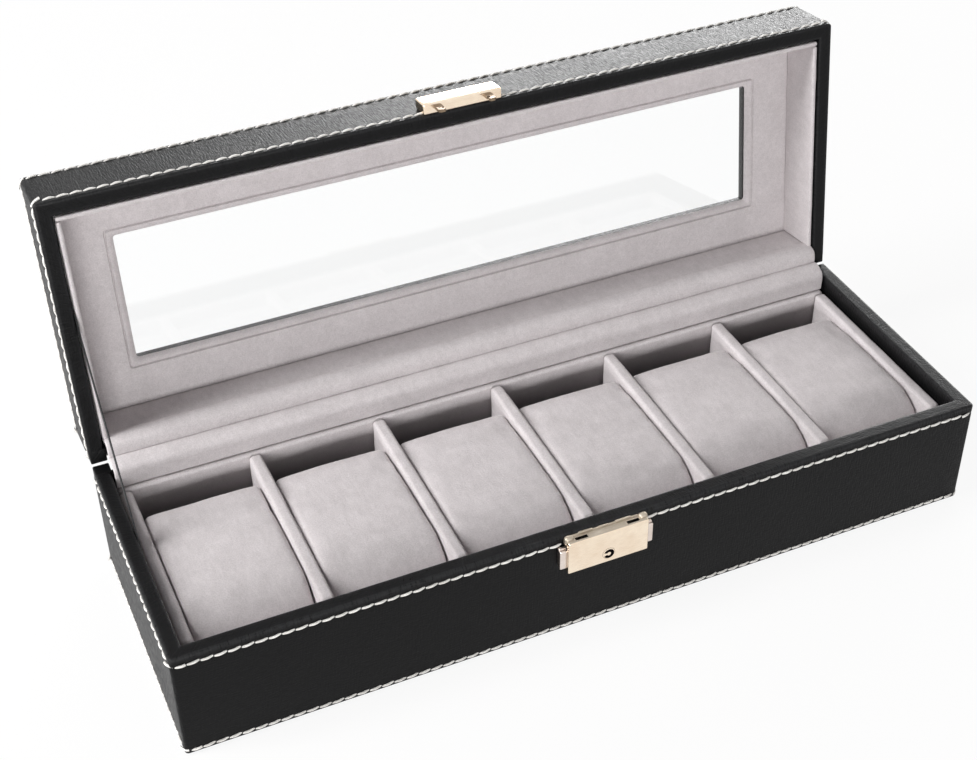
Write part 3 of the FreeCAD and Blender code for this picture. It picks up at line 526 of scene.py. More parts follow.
def carve(thing: bpy.types.Object, cutters: Sequence[bpy.types.Object]) -> bpy.types.Object:
    """Cuts other objects out of one and deletes them."""
    for cutter in cutters:
        step = thing.modifiers.new("cut", "BOOLEAN")
        step.operation, step.solver, step.object = "DIFFERENCE", "EXACT", cutter
        step.material_mode = "TRANSFER"
    baked(thing)
    for cutter in cutters:
        bpy.data.objects.remove(cutter)
    return thing


def settle(thing: bpy.types.Object, body: str, slot: Slot | None, nodes: Sequence[str] = ()) -> None:
    """Fixes a finished piece to its body and hides the CAD nodes that it replaces.

    Args:
        thing: the piece.
        body: the CAD body that it rides on.
        slot: not used.
        nodes: the CAD nodes that it replaces.
    """
    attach(thing, body)
    declare(slot, nodes)
    LOG.info("%s rides on %s, %d faces", thing.name, body, len(thing.data.polygons))


def declare(slot: Slot | None, nodes: Sequence[str]) -> None:
    """Hides the CAD nodes that a piece replaces."""
    if nodes:
        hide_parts(*nodes)


def arc(centre: Pair, radius: float, start: float, stop: float, steps: int) -> list[Pair]:
    """Points on an arc, ends included, with its angles in degrees."""
    turns = [math.radians(start + (stop - start) * step / steps) for step in range(steps + 1)]
    return [(centre[0] + radius * math.cos(a), centre[1] + radius * math.sin(a)) for a in turns]


@dataclass(frozen=True)
class Ring:
    """One loop round a rectangular frame, with rounded corners."""

    half: float
    front: float
    back: float
    height: float
    radius: float = 0.3
    # How pale the leather is on this loop: partly wear, partly painted highlight.
    wear: float = 0.0


@dataclass(frozen=True)
class FramePath:
    """Where the stations stand on every loop of a swept frame, from the front left corner round."""

    along: tuple[float, ...]
    depth: tuple[float, ...]
    corner_steps: int = 5

    def stations(self) -> list[tuple[int, float | None, float]]:
        """Side or corner number, place on the side or None, and place in the corner."""
        marks: list[tuple[int, float | None, float]] = []
        back_first = tuple(1 - place for place in reversed(self.depth))
        for side, places in enumerate((self.along, self.depth, self.along, back_first)):
            marks += [(side, place, 0.0) for place in places]
            marks += [(side, None, step / self.corner_steps) for step in range(1, self.corner_steps)]
        return marks

    def loop(self, ring: Ring) -> list[tuple[Vector, Vector]]:
        """The points of one loop, each with its outward direction."""
        r = ring.radius
        centres = [(ring.half - r, ring.front + r), (ring.half - r, ring.back - r),
                   (r - ring.half, ring.back - r), (r - ring.half, ring.front + r)]
        points = []
        for side, place, turn in self.stations():
            angle = math.radians(90 * side - 90 + (0.0 if place is not None else 90 * turn))
            outward = Vector((math.cos(angle), math.sin(angle), 0.0))
            start, stop = Vector(centres[side - 1]), Vector(centres[side])
            middle = start.lerp(stop, place) if place is not None else stop
            points.append((Vector((middle.x, middle.y, ring.height)) + outward * r, outward))
        return points


def sweep(rings: Sequence[Ring], path: FramePath) -> Form:
    """A closed frame skinned over loops that follow each other round its section.

    Args:
        rings: the loops in order; the last joins the first.
        path: where the stations stand on each loop.

    Returns:
        The frame, with a cloth map counted along the loops and round the section.
    """
    loops = [[point for point, _ in path.loop(ring)] for ring in rings]
    count = len(loops[0])
    outer = max(rings, key=lambda ring: ring.half)
    line = [point for point, _ in path.loop(outer)]
    along = [0.0]
    for index in range(count):
        along.append(along[-1] + (line[(index + 1) % count] - line[index]).length)
    round_section = [0.0]
    for index, ring in enumerate(rings):
        following = rings[(index + 1) % len(rings)]
        step = math.hypot(following.half - ring.half, following.height - ring.height)
        round_section.append(round_section[-1] + step)
    form = Form(points=[point for loop in loops for point in loop])
    form.wear = [ring.wear for ring in rings for _ in range(count)]
    for row in range(len(rings)):
        below, above = row * count, (row + 1) % len(rings) * count
        for index in range(count):
            after = (index + 1) % count
            form.faces.append((below + index, below + after, above + after, above + index))
            left, right = along[index], along[index + 1]
            low, high = round_section[row], round_section[row + 1]
            form.cloth.append(((left, low), (right, low), (right, high), (left, high)))
    return form


def tube(rows: int, count: int) -> list[tuple[int, ...]]:
    """The quads between rows of points, each row a closed loop of that many."""
    quads = []
    for row in range(rows - 1):
        low, high = row * count, (row + 1) * count
        for index in range(count):
            after = (index + 1) % count
            quads.append((low + index, low + after, high + after, high + index))
    return quads


def caps(rows: int, count: int) -> list[tuple[int, ...]]:
    """The two faces that close a tube of that many rows."""
    return [tuple(range(count)), tuple(range((rows - 1) * count, rows * count))]


def in_row(number: int, count: int, pitch: float) -> float:
    """The middle of a numbered place in a row that is centred on X = 0."""
    return (number - (count + 1) / 2) * pitch


def mirrored(sign: int, pair: Pair) -> list[float]:
    """Two places along X on the left or the right side, the lower first."""
    return sorted((sign * pair[0], sign * pair[1]))


def even(count: int) -> tuple[float, ...]:
    """Places from 0 to 1 in that many equal steps."""
    return tuple(step / count for step in range(count + 1))


def soft_places(low: float, high: float, radius: float, steps: int, spacing: float) -> list[float]:
    """Places between two limits, closer together in the rounded ends."""
    ends = [radius * step / steps for step in range(steps)]
    inner = high - low - 2 * radius
    count = max(1, round(inner / spacing))
    middle = [low + radius + inner * step / count for step in range(count + 1)]
    return [low + end for end in ends] + middle + [high - end for end in reversed(ends)]


@dataclass(frozen=True)
class Block:
    """A block with rounded edges and, for upholstery, a slightly uneven skin."""

    low: tuple[float, float, float]
    high: tuple[float, float, float]
    radius: float
    spacing: float = 8.0
    steps: int = 3
    unevenness: float = 0.0

    def form(self) -> Form:
        """The block as one closed skin of quads."""
        axes = [soft_places(low, high, self.radius, self.steps, self.spacing)
                for low, high in zip(self.low, self.high)]
        form = Form()
        index: dict[tuple[int, ...], int] = {}

        def corner(key: tuple[int, ...]) -> int:
            """The number of the skin point at that place on the grid."""
            if key not in index:
                index[key] = len(form.points)
                form.points.append(self.rounded(Vector(axes[i][key[i]] for i in range(3))))
            return index[key]

        for axis in range(3):
            one, two = (axis + 1) % 3, (axis + 2) % 3
            for end in (0, len(axes[axis]) - 1):
                for a in range(len(axes[one]) - 1):
                    for b in range(len(axes[two]) - 1):
                        quad = []
                        for da, db in ((0, 0), (1, 0), (1, 1), (0, 1)):
                            key = [0, 0, 0]
                            key[axis], key[one], key[two] = end, a + da, b + db
                            quad.append(corner(tuple(key)))
                        form.faces.append(tuple(quad))
        return form

    def rounded(self, point: Vector) -> Vector:
        """A point of the square block moved to the rounded, uneven skin."""
        core = Vector(min(max(place, low + self.radius), high - self.radius)
                      for place, low, high in zip(point, self.low, self.high))
        away = point - core
        if away.length < 1e-9:
            return point
        away.normalize()
        lift = self.radius
        if self.unevenness:
            lift += self.unevenness * (noise.noise(point * 0.13) + 0.4 * noise.noise(point * 0.45) - 0.6)
        return core + away * lift


@dataclass(frozen=True)
class BoxSizes:
    """The sizes that several sub-assemblies share, in millimetres."""

    half_x: float = 152.5
    half_y: float = 51.0
    hinge_z: float = 45.5
    open_angle: float = 98.0
    rim: float = 45.3
    leather: float = 0.5
    wall: float = 5.5
    corner: float = 1.5
    tray_x: float = 146.4
    tray_y: float = 44.9
    tray_top: float = 39.5
    back_step: float = 0.8
    notch_x: float = 148.0
    notch_run: float = 1.5

    def notch(self, x: float) -> float:
        """How deep the back rim is stepped at a place along the hinge."""
        return self.back_step * min(1.0, max(0.0, (self.notch_x - abs(x)) / self.notch_run))

    def opened(self, point: Vector) -> Vector:
        """A point of the closed lid's own frame, with the lid open."""
        angle = math.radians(self.open_angle)
        reach, rise = -point.y, point.z
        return Vector((point.x, self.half_y - reach * math.cos(angle) + rise * math.sin(angle),
                       self.hinge_z + reach * math.sin(angle) + rise * math.cos(angle)))


BOX = BoxSizes()
PLAIN_SIDE, BACK_END = 0.93, 0.07
SIDE_PLACES = (*(step / 12 * PLAIN_SIDE for step in range(12)),
               *(PLAIN_SIDE + step / 10 * BACK_END for step in range(11)))
CASE_PATH = FramePath(even(48), SIDE_PLACES)


@dataclass(frozen=True)
class StitchLine:
    """A row of stitches round a case: its height, and the half width that stays free at the front."""

    height: float
    free: float = 0.0


@dataclass(frozen=True)
class Stitching:
    """Slanted arched stitches laid along lines by Geometry Nodes."""

    pitch: float = 4.5
    length: float = 3.95
    thickness: float = 0.95
    rise: float = 0.36
    slant: float = 7.0
    seed: int = 11

    def tree(self) -> tuple[bpy.types.NodeTree, dict[str, str]]:
        """The node tree and the identifiers of its named inputs."""
        tree = bpy.data.node_groups.new("stitch_row", "GeometryNodeTree")
        face = tree.interface
        face.new_socket("Lines", in_out="INPUT", socket_type="NodeSocketGeometry")
        keys = {}
        for name in ("Pitch", "Length", "Thickness", "Rise", "Slant"):
            keys[name] = face.new_socket(name, in_out="INPUT", socket_type="NodeSocketFloat").identifier
        keys["Seed"] = face.new_socket("Seed", in_out="INPUT", socket_type="NodeSocketInt").identifier
        face.new_socket("Stitches", in_out="OUTPUT", socket_type="NodeSocketGeometry")
        graph = Graph(tree)
        given = graph.node("NodeGroupInput")
        curve = graph.node("GeometryNodeMeshToCurve", {}, {"Mesh": given["Lines"]})
        row = graph.node("GeometryNodeResampleCurve", {"mode": "LENGTH"},
                         {"Curve": curve["Curve"], "Length": given["Pitch"]})
        stitch, turn = self.stitch(graph, given), self.turn(graph, given)
        laid = graph.node("GeometryNodeInstanceOnPoints", {},
                          {"Points": row["Curve"], "Instance": stitch, "Rotation": turn})
        solid = graph.node("GeometryNodeRealizeInstances", {}, {"Geometry": laid["Instances"]})
        dyed = graph.node("GeometryNodeSetMaterial", {},
                          {"Geometry": solid["Geometry"], "Material": THREAD.material()})
        graph.node("NodeGroupOutput", {}, {"Stitches": dyed["Geometry"]})
        return tree, keys

    @staticmethod
    def stitch(graph: Graph, given: Outputs) -> Wire:
        """One arched stitch along X, thinner at its ends."""
        half, rise = given["Length"] * 0.5, given["Rise"]
        ends = {}
        for end, sign in (("Start", -1.0), ("End", 1.0)):
            ends[end] = graph.node("ShaderNodeCombineXYZ", {}, {"X": half * sign, "Z": rise * -0.9})[0]
        top = graph.node("ShaderNodeCombineXYZ", {}, {"Z": rise * 1.7})[0]
        bow = graph.node("GeometryNodeCurveQuadraticBezier", {}, {"Resolution": 6, "Middle": top, **ends})
        factor = graph.node("GeometryNodeSplineParameter")["Factor"]
        swell = 1.0 - (factor * 2.0 - 1.0) ** 4.0 * 0.6
        bow = graph.node("GeometryNodeSetCurveRadius", {}, {"Curve": bow["Curve"], "Radius": swell})
        rim = graph.node("GeometryNodeCurvePrimitiveCircle", {},
                         {"Resolution": 6, "Radius": given["Thickness"] * 0.5})
        sockets = {"Curve": bow["Curve"], "Profile Curve": rim["Curve"], "Fill Caps": True}
        tube = graph.node("GeometryNodeCurveToMesh", {}, sockets)
        return graph.node("GeometryNodeSetShadeSmooth", {}, {"Geometry": tube["Mesh"]})["Geometry"]

    @staticmethod
    def turn(graph: Graph, given: Outputs) -> Wire:
        """Along the line, standing on the wall, with the slant and a little play."""
        tangent = graph.node("GeometryNodeInputTangent")["Tangent"]
        outward = graph.node("GeometryNodeInputNamedAttribute", {"data_type": "FLOAT_VECTOR"},
                             {"Name": "outward"})["Attribute"]
        lie = graph.node("FunctionNodeAlignRotationToVector", {"axis": "X"}, {"Vector": tangent})["Rotation"]
        stand = graph.node("FunctionNodeAlignRotationToVector", {"axis": "Z", "pivot_axis": "X"},
                           {"Rotation": lie, "Vector": outward})["Rotation"]
        play = graph.node("FunctionNodeRandomValue", {"data_type": "FLOAT"},
                          {"Min": -0.045, "Max": 0.045, "Seed": given["Seed"]})["Value"]
        angle = graph.node("ShaderNodeCombineXYZ", {}, {"Z": given["Slant"] + play})[0]
        slanted = graph.node("FunctionNodeEulerToRotation", {}, {"Euler": angle})["Rotation"]
        return graph.node("FunctionNodeRotateRotation", {"rotation_space": "LOCAL"},
                          {"Rotation": stand, "Rotate By": slanted})["Rotation"]

    def sew(self, name: str, lines: Sequence[list[tuple[Vector, Vector]]]) -> bpy.types.Object:
        """Stitches along lines of points with outward directions.

        Args:
            name: the piece's name.
            lines: open or closed lines; a closed one repeats its first point.

        Returns:
            The stitches as one plain mesh.
        """
        points, edges, outward = [], [], []
        for line in lines:
            start = len(points)
            points += [point * MM for point, _ in line]
            outward += [value for _, way in line for value in way]
            edges += [(start + step, start + step + 1) for step in range(len(line) - 1)]
        guide = bpy.data.meshes.new(name)
        guide.from_pydata(points, edges, [])
        guide.attributes.new("outward", "FLOAT_VECTOR", "POINT").data.foreach_set("vector", outward)
        thing = bpy.data.objects.new(name, guide)
        bpy.context.scene.collection.objects.link(thing)
        tree, keys = self.tree()
        row = thing.modifiers.new("stitches", "NODES")
        row.node_group = tree
        values = {"Pitch": self.pitch * MM, "Length": self.length * MM, "Thickness": self.thickness * MM,
                  "Rise": self.rise * MM, "Slant": math.radians(self.slant), "Seed": self.seed}
        for key, value in values.items():
            row[keys[key]] = value
        return baked(thing)


def stitch_points(line: StitchLine, ring: Ring, path: FramePath, shift: Callable[[Vector], Vector]
                  ) -> list[tuple[Vector, Vector]]:
    """The points of a stitch line round a case, from the right of its free width round to the left.

    Args:
        line: the row's height and free width.
        ring: the loop on the case's outside.
        path: where the stations stand.
        shift: moves a point to the dressed wall.

    Returns:
        Points with their outward directions.
    """
    loop = path.loop(Ring(ring.half, ring.front, ring.back, line.height, ring.radius))
    front = [entry for entry in loop if entry[0].y < ring.front + 1e-6 and abs(entry[0].x) < ring.half - 2]
    rest = loop[len(front) + (loop.index(front[0])):] + loop[:loop.index(front[0])]
    right = [entry for entry in front if entry[0].x > line.free]
    left = [entry for entry in front if entry[0].x < -line.free]
    y, way = ring.front, Vector((0.0, -1.0, 0.0))
    first = (Vector((line.free, y, line.height)), way)
    last = (Vector((-line.free, y, line.height)), way)
    return [(shift(point), way) for point, way in [first, *right, *rest, *left, last]]


@dataclass
class BaseCase:
    """The base's leather skin with its stitches."""

    bevel: float = 4.8
    back_rim: float = 44.5
    bend_foot: float = 28.0
    bend_run: float = 16.0
    band_foot: float = 38.9
    underlap: Pair = (2.0, 0.3)
    rows: tuple[StitchLine, ...] = (StitchLine(41.8, 18.4), StitchLine(2.0))

    def lowered(self, point: Vector) -> Vector:
        """A point moved down with the bevel along the back edge and the step of the back rim."""
        drop = max(0.0, point.y - (BOX.half_y - self.bevel + 0.2))
        if point.y > self.back_rim:
            drop = max(drop, BOX.notch(point.x))
        share = min(1.0, max(0.0, (point.z - self.bend_foot) / self.bend_run))
        return Vector((point.x, point.y, point.z - drop * share))

    def ring(self, inset: float, height: float, wear: float = 0.0) -> Ring:
        """The loop at an inset from the outside."""
        radius = max(BOX.corner - inset, 0.35)
        return Ring(BOX.half_x - inset, inset - BOX.half_y, BOX.half_y - inset, height, radius, wear)

    def section(self) -> list[Ring]:
        """The skin's section from under the wall, up the outside, over the rim and down the band."""
        rim, wall, hide = BOX.rim, BOX.wall, BOX.leather
        inset, foot = self.underlap
        rings = [self.ring(inset, foot)]
        rings += [self.ring(d, z, 0.8) for d, z in arc((0.7, 1.0), 0.7, 270, 180, 3)]
        rings += [self.ring(0.0, z) for z in (3.2, 9.0, 16.0, 23.0, 29.0, 34.0, 37.5, 40.2)]
        rings += [self.ring(d, z) for d, z in ((0.02, 41.0), (0.13, 41.8), (0.02, 42.6), (0.0, 43.2))]
        rings += [self.ring(d, z, 1.0) for d, z in arc((0.8, rim - 0.8), 0.8, 180, 90, 4)]
        rings += [self.ring(d, rim, wear) for d, wear in ((1.3, 0.2), (2.75, 0.1), (4.3, 0.2))]
        rings += [self.ring(d, z, 0.9) for d, z in arc((wall - 0.7, rim - 0.7), 0.7, 90, 0, 4)]
        rings += [self.ring(wall, z) for z in (42.0, self.band_foot)]
        rings += [self.ring(wall - hide, z) for z in (self.band_foot, rim - hide)]
        rings += [self.ring(hide, z) for z in (rim - hide, self.bend_foot, foot + hide)]
        return rings + [self.ring(inset, foot + hide)]

    def build(self) -> None:
        """The skin and its stitches."""
        form = sweep(self.section(), CASE_PATH).moved(self.lowered)
        skin = new_object(form.mesh("base_leather_skin"), LEATHER)
        settle(skin, Body.BASE.value, Slot.LEATHER, ["base_leather_wrap"])
        ring = self.ring(0.0, 0.0)
        lines = [stitch_points(row, ring, CASE_PATH, self.lowered) for row in self.rows]
        settle(Stitching().sew("base_stitches", lines), Body.BASE.value, None)


@dataclass
class LidCase:
    """The lid's leather skin, its stitches, and the velvet inside it."""

    depth: float = 102.0
    height: float = 26.0
    rim: float = 0.2
    bevel: float = 3.6
    back_rim: float = 6.5
    bend_top: float = 12.0
    bend_run: float = 10.5
    window: float = 26.0
    card_window: float = 26.2
    card_sill: float = 0.6
    turn_in: float = 3.0
    under: float = 22.5
    pane: float = 20.5
    card: float = 19.0
    lining: float = 1.8
    lining_front: float = 6.1
    lining_back: float = 6.9
    rows: tuple[StitchLine, ...] = (StitchLine(2.7, 15.6), StitchLine(23.7))

    def raised(self, point: Vector) -> Vector:
        """A point moved up with the bevel along the back edge and the step of the back rim."""
        reach = -point.y
        rise = max(0.0, self.bevel - self.rim - reach)
        if reach < self.back_rim:
            rise = max(rise, BOX.notch(point.x))
        share = min(1.0, max(0.0, (self.bend_top - point.z) / self.bend_run))
        return Vector((point.x, point.y, point.z + rise * share))

    def placed(self, point: Vector) -> Vector:
        """A point of the plain lid moved to the bevelled, open lid."""
        return BOX.opened(self.raised(point))

    def ring(self, inset: float, height: float, wear: float = 0.0) -> Ring:
        """The loop at an inset from the outside."""
        radius = max(BOX.corner - inset, 0.35)
        return Ring(BOX.half_x - inset, inset - self.depth, -inset, height, radius, wear)

    def section(self) -> list[Ring]:
        """The skin's section: turn-in, rim, wall, top, the window's edge and back inside."""
        wall, hide, top = BOX.wall, BOX.leather, self.height
        rings = [self.ring(wall, self.turn_in)]
        rings += [self.ring(d, z, 0.7) for d, z in arc((wall - 0.7, self.rim + 0.7), 0.7, 0, -90, 4)]
        rings += [self.ring(d, self.rim, wear) for d, wear in ((4.3, 0.2), (2.75, 0.1), (1.3, 0.2))]
        rings += [self.ring(d, z, 0.9) for d, z in arc((0.8, self.rim + 0.8), 0.8, 270, 180, 4)]
        rings += [self.ring(d, z) for d, z in ((0.02, 1.95), (0.13, 2.7), (0.02, 3.45), (0.0, 4.2))]
        rings += [self.ring(0.0, z) for z in (8.0, 13.0, 18.0, 22.3)]
        rings += [self.ring(d, z) for d, z in ((0.02, 22.95), (0.12, 23.7), (0.0, 24.4))]
        rings += [self.ring(d, z, 0.8) for d, z in arc((1.6, top - 1.6), 1.6, 180, 90, 4)[1:]]
        rings += [self.ring(d, top) for d in (4.0, 9.0, 15.0, 21.0)]
        lip = self.window - 0.9
        rings += [self.ring(d, z, 0.5) for d, z in arc((lip, top - 0.9), 0.9, 90, 0, 3)]
        rings += [self.ring(self.window, self.under), self.ring(self.window - hide, self.under)]
        rings += [self.ring(self.window - hide, top - hide), self.ring(hide, top - hide)]
        rings += [self.ring(hide, z) for z in (self.bend_top, self.rim + hide)]
        return rings + [self.ring(wall - hide, z) for z in (self.rim + hide, self.turn_in)]

    def build(self) -> None:
        """The skin, its stitches, the card round the window and the four linings."""
        form = sweep(self.section(), CASE_PATH).moved(self.placed)
        skin = new_object(form.mesh("lid_leather_skin"), LEATHER)
        settle(skin, Body.LID.value, Slot.LEATHER, ["lid_leather_wrap"])
        ring = self.ring(0.0, 0.0)
        lines = []
        for row in self.rows:
            flat = stitch_points(row, ring, CASE_PATH, self.raised)
            lines.append([(BOX.opened(point), BOX.opened(way) - BOX.opened(Vector())) for point, way in flat])
        settle(Stitching(seed=23).sew("lid_stitches", lines), Body.LID.value, None)
        self.window_card()
        self.linings()

    def window_card(self) -> None:
        """The velvet card, slightly padded, with a crease and a lip that slopes back to the pane."""
        margin = self.card_window
        outer = (BOX.tray_x, self.lining_front - self.depth, -self.lining_back)
        inner = (BOX.half_x - margin, margin - self.depth, -margin - self.card_sill)

        def ring(share: float, height: float, radius: float) -> Ring:
            """The loop at a share of the way from the card's outside to its window."""
            half, front, rear = (a + (b - a) * share for a, b in zip(outer, inner))
            return Ring(half, front, rear, height, radius)

        soft = self.card - 0.3
        rings = [ring(0.0, self.card, 0.3), ring(0.1, self.card - 0.05, 0.4), ring(0.3, soft, 0.5)]
        rings += [ring(0.5, soft - 0.05, 0.6), ring(0.72, soft, 0.8), ring(0.835, soft + 0.05, 1.0)]
        crease = ((0.845, 0.5), (0.856, 0.8), (0.868, 0.5))
        lip = ((0.88, 0.1), (0.91, 0.05), (0.945, 0.35), (0.975, 0.9), (1.0, 1.5))
        rings += [ring(share, soft + back, 1.1) for share, back in crease + lip]
        rings += [ring(1.0, self.pane - 0.02, 1.2), ring(0.0, self.pane - 0.02, 0.3)]
        form = sweep(rings, FramePath(even(60), even(20), 4))
        form.cloth, form.wear = [], []
        card = new_object(form.moved(BOX.opened).mesh("window_card_velvet"), VELVET)
        settle(card, Body.LID.value, Slot.VELVET, ["window_card"])

    def linings(self) -> None:
        """Four thin velvet boards with rounded rims."""
        x, thick, low, high = BOX.tray_x, self.lining, self.rim - 0.1, self.card
        front, back = self.lining_front - self.depth, -self.lining_back
        boards = {
            "front": ((-x, front, low), (x, front + thick, high)),
            "back": ((-x, back - thick, low), (x, back, high)),
            "left": ((-x, front + thick, low), (thick - x, back - thick, high)),
            "right": ((x - thick, front + thick, low), (x, back - thick, high)),
        }
        for side, (lowest, highest) in boards.items():
            form = Block(lowest, highest, 0.85, 6.0, 3, 0.1).form().moved(BOX.opened)
            board = new_object(form.mesh(f"lid_{side}_velvet"), VELVET)
            settle(board, Body.LID.value, Slot.VELVET, [f"lid_{side}_lining"])


@dataclass
class Tray:
    """The velvet tray: floor, four walls and five dividers."""

    slot_x: float = 141.5
    slot_y: float = 40.0
    floor: Pair = (3.8, 5.8)
    pitch: float = 48.0
    dividers: int = 5
    thickness: float = 5.0
    edge: float = 1.5

    def build(self) -> None:
        """Every board of the tray."""
        x, y, foot, top = BOX.tray_x, BOX.tray_y, self.floor[1], BOX.tray_top
        boards = {
            "tray_floor": ((-x, -y, self.floor[0]), (x, y, foot)),
            "tray_front": ((-x, -y, foot), (x, -self.slot_y, top)),
            "tray_back": ((-x, self.slot_y, foot), (x, y, top)),
            "tray_left": ((-x, -self.slot_y, foot), (-self.slot_x, self.slot_y, top)),
            "tray_right": ((self.slot_x, -self.slot_y, foot), (x, self.slot_y, top)),
        }
        for number in range(1, self.dividers + 1):
            middle, half = in_row(number, self.dividers, self.pitch), self.thickness / 2
            boards[f"divider_{number}"] = ((middle - half, -self.slot_y, foot),
                                           (middle + half, self.slot_y, top))
        for name, (low, high) in boards.items():
            radius = 0.6 if name == "tray_floor" else self.edge
            form = Block(low, high, radius, 4.0, 4, 0.14).form()
            # The back board's velvet carries painted shade, darker towards the bottom of the slots.
            finish = SLOT_VELVET_PAINTED_SHADE if name == "tray_back" else VELVET
            board = new_object(form.mesh(f"{name}_velvet"), finish)
            node = name if name.startswith("divider") else f"{name}_board"
            settle(board, Body.BASE.value, Slot.VELVET, [node])


@dataclass
class Pillows:
    """Six velvet watch pillows of foam, each a little different."""

    half: float = 21.1
    front: float = -39.2
    back: float = 29.3
    foot: float = 6.1
    top: float = 39.0
    crest: float = -20.0
    belly: float = 22.0
    tail: float = 5.0
    heel: float = 5.0
    slope: float = 1.6
    pitch: float = 48.0
    count: int = 6
    voxel: float = 1.7
    swell_limit: float = 0.5
    room: float = 21.3

    def outline(self, inset: float, drop: float) -> list[Pair]:
        """The section in Y and Z, drawn in all round by inset and lower by drop."""
        front, back = self.front + inset, self.back - inset
        foot, top = self.foot + inset * 0.3, self.top - drop
        tail, heel, slope = self.tail - inset * 0.4, self.heel - inset * 0.4, self.slope
        points = arc((front + heel, foot + heel), heel, 180, 270, 6)
        points += arc((back - heel, foot + heel), heel, 270, 360, 6)
        points += arc((back - tail, top - slope - tail), tail, 0, 90, 10)
        points += [(y, top - slope * ((y + 14.0) / 38.0) ** 2) for y in (17.0, 10.0, 3.0, -4.0, -10.0)]
        for step in range(19):
            turn = math.radians(90 * step / 18)
            points.append((self.crest - (self.crest - front) * math.sin(turn),
                           self.belly + (top - self.belly) * math.cos(turn)))
        return points

    def form(self, middle: float) -> Form:
        """A closed pillow with its crown in the middle and pulled-in ends."""
        stations = [(-1.0, 3.5, 3.0), (-1.0, 1.2, 1.3), (-0.985, 0.6, 0.7), (-0.94, 0.25, 0.4),
                    (-0.8, 0.1, 0.25), (-0.5, 0.05, 0.15), (-0.2, 0.0, 0.02)]
        stations += [(-x, inset, drop) for x, inset, drop in reversed(stations)]
        form = Form()
        for place, inset, drop in stations:
            form.points += [Vector((middle + place * self.half, y, z)) for y, z in self.outline(inset, drop)]
        rows, count = len(stations), len(self.outline(0.0, 0.0))
        form.faces = tube(rows, count) + caps(rows, count)
        return form

    def plumped(self) -> bpy.types.Object:
        """One pillow round X = 0: remeshed, swelled as cloth over foam, and the swelling capped."""
        # The pillows' velvet carries painted shade, darker towards their bottoms.
        thing = new_object(self.form(0.0).mesh("pillow_model"), PILLOW_VELVET_PAINTED_SHADE)
        remesh = thing.modifiers.new("even_mesh", "REMESH")
        remesh.mode, remesh.voxel_size = "VOXEL", self.voxel * MM
        baked(thing)
        start = [vertex.co.copy() for vertex in thing.data.vertices]
        cloth = thing.modifiers.new("cover", "CLOTH")
        cloth.settings.use_pressure = True
        cloth.settings.uniform_pressure_force = 4.0
        cloth.settings.effector_weights.gravity = 0.0
        scene = bpy.context.scene
        for step in range(1, 16):
            scene.frame_set(step)
        baked(thing)
        scene.frame_set(1)
        limit = self.swell_limit * MM
        for vertex, rest in zip(thing.data.vertices, start):
            move = vertex.co - rest
            if move.length > limit:
                vertex.co = rest + move * (limit / move.length)
        return thing

    def dent(self, thing: bpy.types.Object, middle: float, seed: int) -> None:
        """Gives a pillow its own dents, keeps it inside its slot and smooths it.

        Args:
            thing: the plumped pillow, in its place.
            middle: the middle of its slot.
            seed: shifts the dents, so that no two pillows are alike.
        """
        for vertex in thing.data.vertices:
            place = vertex.co / MM + Vector((seed * 91.0, 0.0, 0.0))
            depth = 0.26 * noise.noise(place * 0.06) + 0.1 * noise.noise(place * 0.21)
            point = vertex.co + vertex.normal * depth * MM
            point.x = min(max(point.x, (middle - self.room) * MM), (middle + self.room) * MM)
            vertex.co = point
        smooth = thing.modifiers.new("smooth", "SUBSURF")
        smooth.levels = smooth.render_levels = 1
        baked(thing)

    def build(self) -> None:
        """All six pillows."""
        model = self.plumped()
        for number in range(1, self.count + 1):
            middle = in_row(number, self.count, self.pitch)
            mesh = model.data.copy()
            mesh.name = f"pillow_{number}_velvet"
            mesh.transform(Matrix.Translation((middle * MM, 0.0, 0.0)))
            pillow = new_object(mesh, None)
            self.dent(pillow, middle, number)
            pillow.data.shade_smooth()
            settle(pillow, f"pillow_{number}", Slot.VELVET, [f"watch_pillow_{number}"])
        bpy.data.objects.remove(model)


